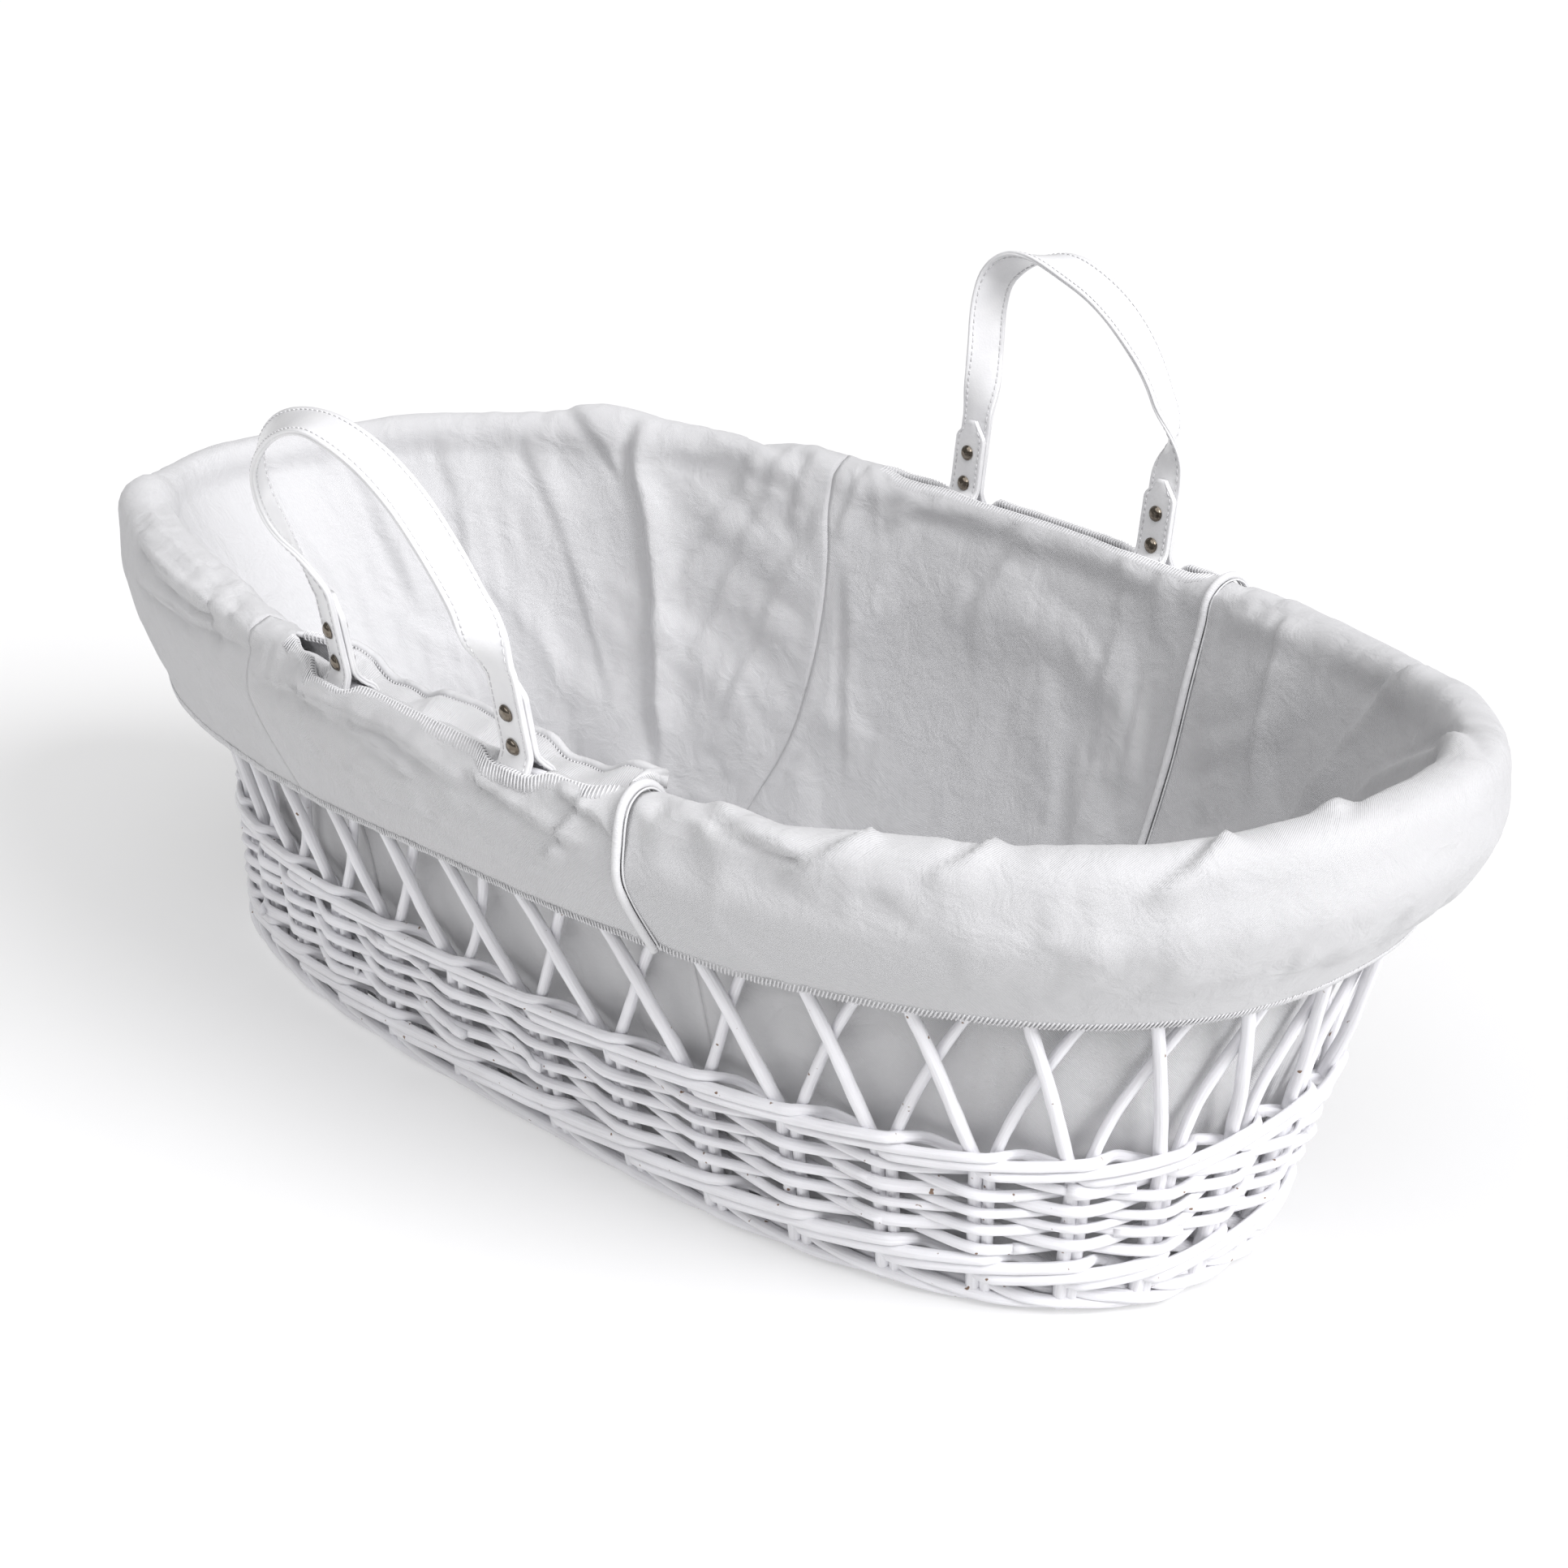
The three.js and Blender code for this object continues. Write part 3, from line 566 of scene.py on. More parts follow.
def side_rows():
    """Single rods woven in front of one pair of stakes and behind the next, row on row."""
    build = Build()
    serial = 100
    for row in range(ROWS):
        start = rods.uniform(0, 6)
        place = start
        while place < start + PAIRS - 0.5:
            length = min(float(rods.integers(7, 12)), start + PAIRS - place)
            if start + PAIRS - place - length < 4:
                length = start + PAIRS - place
            serial += 1
            show = rods.uniform() < 0.55
            p0, p1 = place - 0.32, place + length + (0.42 if show else 0.1)
            drift = rods.uniform(-1.6, 1.6)
            flat = rods.uniform(0.55, 0.75) if rods.uniform() < 0.35 else 1.0
            thick = rods.uniform(2.45, 3.25)

            def out_of(p, row=row, serial=serial, p1=p1, poke=5.0 if show else 0.0):
                swing = np.arcsin(0.96 * np.cos(math.pi * (p + row))) / math.asin(0.96)
                uneven = 0.5 * noise(p * 1.3, serial * 2.3, 8)
                return WEAVE_OUT * 1.04 * swing + uneven + poke * smooth(p, p1 - 0.3, p1)

            def z_of(p, x, row=row, drift=drift, p0=p0, p1=p1, serial=serial):
                high = band_top(x) - HIGH_DEPTH
                z = LOW_TOP + (high - LOW_TOP) * (row + 0.5) / ROWS
                return z + drift * ((p - p0) / (p1 - p0) - 0.5) + 1.3 * noise(p * 0.9, serial * 1.9, 9)

            build.add(*woven(p0, p1, out_of, z_of, thick, thick * 0.8, serial, flat))
            place += length
    return build.make("willow_side_rows", WILLOW, "basket", ["side_weave"])


def wale(name, node_name, centre, rise, thick, serial):
    """Three rods, each in front of two pairs and behind one, climbing as they go."""
    build = Build()
    for k in range(3):
        place = k + 0.6
        end = place + PAIRS
        while place < end - 0.1:
            length = min(float(rods.choice([6, 9, 12])), end - place)
            serial += 1

            def turn(p):
                return ((p - k) / 3 - 0.2) % 1.0

            def out_of(p, serial=serial, p1=place + length + 0.2):
                away = np.minimum(turn(p), 1 - turn(p))
                behind = np.exp(-(away / 0.125) ** 4)
                poke = 4.5 * smooth(p, p1 - 0.26, p1)
                return WEAVE_OUT * (1 - 2 * behind) + 0.4 * noise(p * 1.1, serial * 2.9, 12) + poke

            def z_of(p, x, serial=serial):
                psi = turn(p)
                climb = np.where(psi > 0.86, (1 - psi) / 0.28, (psi - 0.5) / 0.72)
                climb = np.where(psi < 0.14, -psi / 0.28, climb)
                return centre(x) + rise * climb + 0.7 * noise(p * 0.8, serial * 1.3, 13)

            flat = rods.uniform(0.7, 1.0)
            size = thick * rods.uniform(0.92, 1.08)
            build.add(*woven(place - 0.1, place + length + rods.uniform(0.1, 0.35), out_of, z_of,
                             size, size * 0.86, serial, flat, per=12))
            place += length
    return build.make(name, WILLOW, "basket", [node_name])


def foot_border():
    """The stakes' lower ends turned along the foot, each sweeping under the next ones."""
    build = Build()
    # Each row: pairs passed, height, distance out from the wall.
    sweep = np.array([[0, 24, 0], [0.03, 17.5, 2.0], [0.17, 12.8, 4.8], [0.6, 9.4, 6.2], [1.2, 6.4, 5.6],
                      [1.8, 4.4, 2.2], [2.35, 3.9, -2.6], [2.8, 5.2, -7.0]])
    for pair in range(PAIRS):
        for k in range(2):
            wobble = rods.uniform(-1, 1, sweep.shape) * [0.03, 0.7, 0.5]
            track = sweep + wobble
            if k:
                track = track * [0.92, 1, 1] + [0.16, 2.2, -4.6]
            track = spline(track * [40, 1, 1], 6) / [40, 1, 1]
            t = pair_angle(pair + track[:, 0])
            thick = rods.uniform(3.1, 3.6) if k == 0 else 2.8
            z = np.maximum(track[:, 1], thick + 0.15)
            path = wall(t, 0 * z, track[:, 2] - 1.2)
            path[:, 2] = z
            radius = rod_radius(len(path), thick, thick * 0.84, pair + k * 40)
            radius = np.minimum(radius, z - 0.1)
            build.add(*tube(path, normal("base", t), radius, 9, serial=400 + pair * 2 + k))
    return build.make("willow_foot_border", WILLOW, "basket", ["foot_border"])


def rim_border():
    """Four thin rods laid round the rim in a long twist."""
    build = Build()
    t = np.linspace(0, TAU, 361)[:-1]
    centre, outward = border(t), normal("rim", t)
    s = rim_length(t)
    for k in range(4):
        a = TAU * (s / RIM_LENGTH * 16 + k / 4)
        path = centre + outward * (3.0 * np.cos(a))[:, None] + UP * (3.0 * np.sin(a))[:, None]
        build.add(*tube(path, outward, 2.75, 8, closed=True, serial=500 + k))
    return build.make("willow_rim_border", WILLOW, "basket", ["top_border"])


def base_rows():
    """Oval rows laid round the sticks of the base."""
    build = Build()
    lo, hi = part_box("base_weave")
    half_x, half_y = ((hi[k] - lo[k]) / 2 / MM - 2.6 for k in (0, 1))
    centre_x = (hi[0] + lo[0]) / 2 / MM
    a = np.linspace(0, TAU, 121)[:-1]
    c, s = np.cos(a), np.sin(a)
    for row in range(19):
        inset = 6.3 * row
        x = centre_x + (half_x - inset) * np.sign(c) * np.abs(c) ** 0.74
        y = (half_y - inset) * np.sign(s) * np.abs(s) ** 0.74
        z = 11.9 + 0.7 * (-1) ** row * np.sin(math.pi * x / 93)
        path = np.stack([x, y, z], -1)
        build.add(*tube(path, UP, 2.55 + 0.15 * noise(a * 6, row, 31), 6, closed=True, serial=520 + row))
    return build.make("willow_base_rows", WILLOW, "basket", ["base_weave"])


stakes()
side_rows()
wale("willow_upper_wale", "upper_wale", lambda x: band_top(x) - 9.4, 11.5, 2.85, 600)
wale("willow_lower_wale", "lower_wale", lambda x: 27.0 + 0 * x, 13.0, 3.15, 650)
foot_border()
rim_border()
base_rows()
for k in range(1, 7):
    for material_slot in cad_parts[f"base_stick_{k}"].material_slots:
        material_slot.material = WILLOW

# ------------------------------------------------------------------ padded liner
ROLL_SHOWN = [(-16.4, -8), (-13.6, 5.5), (-6, 12.8), (3, 14), (10.5, 9), (14.1, -4), (14.1, -26)]
WALL_FOOT_Z = 17.5
SHUT = 0.01                      # a slot that is less open than this is sewn together
# Creases of the cloth: how far each stands out, its width, and the points it runs through, as
# (length round the rim from the foot, arc over the section from the ridge; inside is negative).
CREASES = [
    (7.0, 15, [(752, 2), (752, -40), (750, -80), (745, -125), (738, -170), (702, -224)]),
    (2.0, 11, [(812, 8), (776, -20), (762, -42), (757, -72)]),
    (2.2, 14, [(668, -6), (679, -36), (715, -79), (744, -120)]),
    (1.6, 12, [(650, -6), (663, -43), (692, -90), (722, -156)]),
    (1.9, 15, [(604, -6), (620, -43), (653, -90), (672, -145), (680, -205)]),
    (1.7, 16, [(828, -8), (816, -76), (801, -130), (769, -190)]),
    (1.7, 18, [(878, -10), (885, -78), (897, -140)]),
    (1.6, 19, [(936, -12), (940, -74), (932, -140)]),
    (1.6, 16, [(1000, -10), (1004, -60), (990, -120)]),
    (2.8, 9, [(1182, -12), (1260, -8), (1340, -8), (1425, 2)]),
    (2.6, 8, [(1206, -1), (1290, 2), (1360, 1), (1428, 6)]),
    (4.2, 9, [(1236, 9), (1333, 14), (1390, 12), (1430, 9)]),
    (3.6, 9, [(1248, 32), (1310, 27), (1370, 22), (1434, 14)]),
    (3.3, 9, [(1400, 36), (1460, 24), (1530, 20), (1590, 28), (1618, 34)]),
    (2.7, 7, [(1455, 26), (1520, 30), (1575, 38)]),
    (2.7, 6, [(1505, 62), (1549, 55), (1578, 56)]),
    (3.3, 6, [(1588, 22), (1630, 31), (1668, 34)]),
    (2.7, 5, [(1642, 14), (1671, 20), (1686, 32)]),
    (2.7, 6, [(1664, 10), (1650, 33), (1634, 55)]),
    (1.6, 8, [(634, -2), (637, -28), (646, -58)]),
    (1.4, 7, [(596, 2), (600, -25), (613, -55)]),
    (1.9, 18, [(474, -6), (488, -32), (501, -70), (501, -110)]),
    (1.5, 15, [(411, -2), (408, -30), (404, -90), (396, -150)]),
    (1.4, 11, [(382, -4), (380, -60), (376, -130)]),
    (1.6, 12, [(603, -60), (588, -130), (548, -206)]),
    (5.0, 15, [(168, 2), (196, -22), (213, -51), (226, -80), (240, -112)]),
    (3.4, 11, [(44, 2), (92, -20), (134, -40), (170, -62), (196, -88)]),
    (3.0, 9, [(1980, 0), (2016, -24), (2050, -46)]),
    (2.6, 7, [(1846, -10), (1838, 4), (1818, 18)]),
    (3.3, 7, [(1798, -4), (1780, 12), (1758, 26)]),
    (4.2, 8, [(1940, -6), (1922, 10), (1900, 24)]),
    (3.3, 7, [(1714, -2), (1745, 9), (1778, 15)]),
    (2.6, 9, [(292, -4), (286, -50), (276, -110)]),
]
# Places where the padding is bunched: (length round the rim, arc, half lengths both ways, height).
BUNCHES = [
    (778, 2, 30, 17, 7.0), (1166, -2, 24, 17, 9.0), (905, 0, 30, 15, 1.8), (1026, 0, 42, 15, 2.2),
    (1800, 2, 38, 14, 2.4), (1880, 2, 26, 15, 2.2), (1965, 4, 40, 18, 2.6), (66, 2, 46, 18, 2.4),
    (150, -2, 26, 16, 2.6), (1728, 4, 26, 14, 2.0), (640, -2, 20, 12, 1.8), (1290, 12, 50, 18, 1.6),
]


def skirt_out(t):
    """Height of the cloth's hem and how far it stands out from the wall."""
    hem = plan("hem", t)
    z = hem_height(hem[..., 0])
    hem[..., 2] = z
    reach = np.sum((hem - wall(t, z, 0)) * normal("band", t), -1)
    return z, np.maximum(ROD_R + 2.6 + LINER_T, reach)


def shown_side(t):
    """Control points of the cloth's shown side, from the foot of the wall over the rim to the hem."""
    face = LINER_OUT - LINER_T
    rim_z = border(t)[..., 2]
    waist_z = band_top(plan("band", t)[..., 0])
    hem_z, hem_out = skirt_out(t)
    points = [wall(t, WALL_FOOT_Z, face), wall(t, waist_z * 0.55, face), wall(t, waist_z, face),
              wall(t, (waist_z + rim_z - 40) / 2, face), wall(t, rim_z - 40, face - 1.5)]
    points += [roll(t, np.full(t.shape, a), np.full(t.shape, b)) for a, b in ROLL_SHOWN]
    points.append(wall(t, hem_z, hem_out))
    return np.stack(points, -2)


def section_arcs(t):
    """Dense sections (columns, steps, 3) and the arc length along each, zero on the ridge."""
    dense = spline(shown_side(t), 9)
    steps = np.linalg.norm(np.diff(dense, axis=1), axis=2)
    arc = np.concatenate([np.zeros((len(t), 1)), np.cumsum(steps, 1)], 1)
    top = np.argmax(dense[..., 2], 1)
    ridge = arc[np.arange(len(t)), top]
    return dense, arc - ridge[:, None]


def round_rim(p, middle):
    """The length p counted so that it lies within half a rim of `middle`."""
    return (p - middle + RIM_LENGTH / 2) % RIM_LENGTH - RIM_LENGTH / 2 + middle


def waves(p, s):
    """Broad unevenness of the padding at length p round the rim and arc s."""
    turn = p / RIM_LENGTH * TAU
    inside, outside = smooth(-s, 8, 45), smooth(s, 6, 30)
    out = 1.1 * np.sin(7 * turn + 0.8 + s / 90) + 0.9 * np.sin(12 * turn + 2.1 - s / 70)
    out = out * (0.35 + 0.5 * inside)
    warp = p + 14 * noise(s / 60, p / 150, 41)
    patches = 0.4 + 0.6 * smooth(noise(p / 110, s / 140, 43), -0.3, 0.5)
    out = out + 2.4 * inside * noise(warp / 30, s / 160, 42) * patches
    out = out + 1.1 * outside * noise(warp / 19, s / 60, 44)
    for p0, s0, wide, deep, tall in BUNCHES:
        out = out + tall * np.exp(-((round_rim(p, p0) - p0) / wide) ** 2 - ((s - s0) / deep) ** 2)
    return out


def creases(p, s):
    """Height of the creases: each rises gently on the foot side and drops sharply on the other."""
    out = np.zeros(np.broadcast_shapes(np.shape(p), np.shape(s)))
    for tall, width, points in CREASES:
        line = np.array(points, float)
        q = np.stack(np.broadcast_arrays(round_rim(p, line[:, 0].mean()), s), -1)
        steps = np.linalg.norm(np.diff(line, axis=0), axis=1)
        before = lengths(line)
        nearest, along, sign = np.full(out.shape, np.inf), np.zeros(out.shape), np.ones(out.shape)
        for k, step in enumerate(steps):
            d = (line[k + 1] - line[k]) / step
            u = np.clip((q - line[k]) @ d, 0, step)
            gap = q - line[k] - u[..., None] * d
            far = np.linalg.norm(gap, axis=-1)
            closer = far < nearest
            nearest = np.where(closer, far, nearest)
            along = np.where(closer, (before[k] + u) / before[-1], along)
            sign = np.where(closer, np.sign(gap[..., 0] * d[1] - gap[..., 1] * d[0]), sign)
        side = np.where(sign < 0, 0.38, 1.0)
        fade = smooth(along, 0, 0.14) * (1 - smooth(along, 0.72, 1.0))
        out += tall * fade * np.exp(-(nearest / (width * side)) ** 1.6)
        out -= 0.45 * tall * fade * (sign < 0) * np.exp(-((nearest - width * 0.62) / (width * 0.3)) ** 2)
    return out


def crumple(verts, quads, held, sewn):
    """Cloth simulation of a panel cut slightly too large, so that it buckles between its seams.

    `held` pins the cloth and `sewn` keeps its cut size, both from 0 to 1. Gives how far each point moves.
    """
    grow, cap, last = 0.05, 8.0, 16
    mesh = bpy.data.meshes.new("cloth_trial")
    mesh.from_pydata([tuple(v) for v in verts * MM], [], quads)
    trial = bpy.data.objects.new("cloth_trial", mesh)
    scene.collection.objects.link(trial)
    for group, weights in (("held", held), ("sewn", sewn)):
        pins = trial.vertex_groups.new(name=group)
        levels = np.round(weights * 10) / 10
        for level in np.unique(levels[levels > 0]):
            pins.add(np.flatnonzero(levels == level).tolist(), float(level), "REPLACE")
    cloth = trial.modifiers.new("Cloth", "CLOTH")
    settings = cloth.settings
    settings.quality = 5
    settings.mass = 0.15
    settings.vertex_group_mass = "held"
    settings.tension_stiffness = settings.compression_stiffness = 6
    settings.shear_stiffness = 3
    settings.bending_stiffness = 0.6
    settings.air_damping = 4
    settings.vertex_group_shrink = "sewn"
    settings.shrink_min = -grow
    settings.shrink_max = 0
    settings.effector_weights.gravity = 0
    cloth.collision_settings.use_collision = False
    cloth.point_cache.frame_end = last
    for frame_number in range(1, last + 1):
        scene.frame_set(frame_number)
    shaped = trial.evaluated_get(bpy.context.evaluated_depsgraph_get()).data
    moved = np.empty(len(verts) * 3, np.float32)
    shaped.vertices.foreach_get("co", moved)
    moved = moved.reshape(-1, 3) / MM - verts
    bpy.data.objects.remove(trial)
    bpy.data.meshes.remove(mesh)
    scene.frame_set(1)
    far = np.linalg.norm(moved, axis=1, keepdims=True)
    return moved * np.minimum(1, cap / np.maximum(far, 1e-6)) * (1 - held[:, None])


def blurred(grid, reach):
    """A (columns, rows, 3) grid averaged over `reach` neighbours each way."""
    for axis in (0, 1):
        padding = [(0, 0)] * 3
        padding[axis] = (reach + 1, reach)
        total = np.cumsum(np.pad(grid, padding, mode="edge"), axis)
        count = grid.shape[axis]
        high = np.take(total, np.arange(2 * reach + 1, 2 * reach + 1 + count), axis)
        grid = (high - np.take(total, np.arange(count), axis)) / (2 * reach + 1)
    return grid


def shell(build, verts, quads, outward, thick, uv):
    """Adds a closed padded shell: the shown quads, a copy set back by `thick`, and its edges."""
    count = len(verts)
    back = verts - outward * thick
    edges = {}
    for a, b, c, d in quads:
        for i, j in ((a, b), (b, c), (c, d), (d, a)):
            if (j, i) in edges:
                del edges[(j, i)]
            else:
                edges[(i, j)] = True
    faces = list(quads) + [(d + count, c + count, b + count, a + count) for a, b, c, d in quads]
    faces += [(j, i, i + count, j + count) for i, j in edges]
    build.add(np.concatenate([verts, back]), faces, uv=np.concatenate([uv, uv]))


def finer(block):
    """Doubles the rows and columns of a (columns, rows, ...) grid, smoothly."""
    grid = block if block.ndim == 3 else block[..., None]
    grid = np.moveaxis(spline_rows(np.moveaxis(grid, 0, -2)), -2, 0)
    grid = spline_rows(grid)
    return grid if block.ndim == 3 else grid[..., 0]


def spline_rows(points):
    """Puts a smoothly interpolated point between each two neighbours of a (..., count, k) row."""
    padded = np.concatenate([2 * points[..., :1, :] - points[..., 1:2, :], points,
                             2 * points[..., -1:, :] - points[..., -2:-1, :]], -2)
    a, b, c, d = (padded[..., k:points.shape[-2] - 1 + k, :] for k in range(4))
    between = (9 * (b + c) - a - d) / 16
    out = np.empty(points.shape[:-2] + (2 * points.shape[-2] - 1, points.shape[-1]))
    out[..., ::2, :] = points
    out[..., 1::2, :] = between
    return out


def finer_line(values):
    return spline_rows(values[:, None])[:, 0]


def grid_quads(index):
    """Quads between neighbours in a grid of vertex numbers, as (columns, rows, 4)."""
    return np.stack([index[:-1, :-1], index[1:, :-1], index[1:, 1:], index[:-1, 1:]], -1)


def block_normals(grid, like):
    """Unit normals of a (columns, rows, 3) grid, turned to the side that `like` points to."""
    found = unit(np.cross(np.gradient(grid, axis=1), np.gradient(grid, axis=0)))
    return found * np.sign(np.mean(np.sum(found * like, -1)))


def slot_open(x):
    """How open a handle slot is along x, from 0 to 1."""
    return smooth(x, SLOT_X[0], SLOT_X[0] + 26) * (1 - smooth(x, SLOT_X[1] - 16, SLOT_X[1]))


def joined(open_, inner_rows, outer_rows, flip):
    """Quads of a panel: its inside and outside blocks, sewn together where the slot is closed."""
    cols = len(open_)
    index = np.arange(cols * (inner_rows + outer_rows)).reshape(cols, -1)
    closed = open_ <= SHUT
    index[closed, inner_rows] = index[closed, inner_rows - 1]
    quads = grid_quads(index) if flip else grid_quads(index)[..., ::-1]
    quads = np.delete(quads, inner_rows - 1, 1).reshape(-1, 4)
    used, quads = np.unique(quads, return_inverse=True)
    return used, quads.reshape(-1, 4)


def slot_lining(t, x, open_, flap_edge, flap_out):
    """Cloth over the border inside the near slot, on both sides of each strap loop."""
    # Its section between the straps and at a strap, as (out, up) from the middle of the border.
    over = np.array([(9.6, -15), (8.4, -3), (5.7, 5.6), (0, 7.2), (-6.4, 4.0), (-14, -5)], float)
    notch = np.array([(-11.4, -34), (-11.4, -28), (-11.4, -22), (-11.4, -16), (-11.8, -10), (-15, -6)], float)
    build = Build()
    shown = np.flatnonzero(open_ > 0.3)
    part = slice(shown[0], shown[-1] + 1)
    t, x, flap_edge, flap_out = t[part], x[part], flap_edge[part], flap_out[part]
    clear = smooth(np.min([np.abs(x - leg) for leg in LEG_X["near"]], 0), 11.2, 15)[:, None]
    rows = [roll(t, *(a * clear + b * (1 - clear)).T) for a, b in zip(over, notch)]
    behind = flap_edge - flap_out * 4.6
    grid = spline(np.stack(rows + [behind, behind - UP * 12], 1), 4)
    grid[:, 8:24] += UP * (0.9 * noise(x / 9, 6.0, 57))[:, None, None]
    face = block_normals(grid, np.broadcast_to(UP, grid.shape))
    index = np.arange(grid.shape[0] * grid.shape[1]).reshape(grid.shape[:2])
    quads = grid_quads(index).reshape(-1, 4).tolist()
    uv = np.stack([np.broadcast_to(x[:, None], index.shape), index % grid.shape[1] * 1.5], -1)
    shell(build, grid.reshape(-1, 3), quads, face.reshape(-1, 3), 1.2, uv.reshape(-1, 2) * MM)
    obj = build.make("slot_lining_near", CLOTH, "basket")


STITCH_EDGES = []                # (edge points, points further in, outward normals, stitch reach)


def slot_edges(x, slot_side):
    """Heights of a slot's inner and outer cloth edges above the border's middle, at one place."""
    far = slot_side > 0
    near_leg = min(abs(x - leg) for leg in LEG_X["far" if far else "near"])
    leg_gap = float(smooth(near_leg, 11, 23))
    low_in = 13.0 if far else -7.5 + 8.0 * float(smooth(near_leg, 10, 30))
    low_in += (0.9 if far else 1.6) * noise(x / 26, slot_side * 3.0, 51)
    low_out = (5.0 + 8.0 * leg_gap) if far else (7.0 + 5.0 * leg_gap)
    return low_in, low_out + 0.6 * leg_gap * noise(x / 22, slot_side * 5.0, 52)


def buckled(grid, place, ends, open_, inner_rows, used, quads):
    """The grid with the fine buckles of a cloth simulation; its edges and seams stay put."""
    slotted = open_[:, None] > SHUT
    from_slot = [np.where(slotted, np.abs(place - place[:, k:k + 1]), 99)
                 for k in (inner_rows - 1, inner_rows)]
    margin = np.minimum(np.minimum(place - place[:, :1], place[:, -1:] - place), np.minimum(*from_slot))
    margin = np.minimum(margin, ends[:, None])
    held, sewn = 1 - smooth(margin, 0, 9), 1 - smooth(margin, 5, 40)
    moved = np.zeros((place.size, 3))
    moved[used] = crumple(grid.reshape(-1, 3)[used], quads.tolist(), held.reshape(-1)[used],
                          sewn.reshape(-1)[used])
    moved = moved.reshape(grid.shape)
    closed = open_ <= SHUT
    moved[closed, inner_rows] = moved[closed, inner_rows - 1]
    amount = (0.4 + 0.35 * smooth(place, -20, 10))[..., None]
    return grid + amount * (moved - 0.9 * blurred(moved, 7))


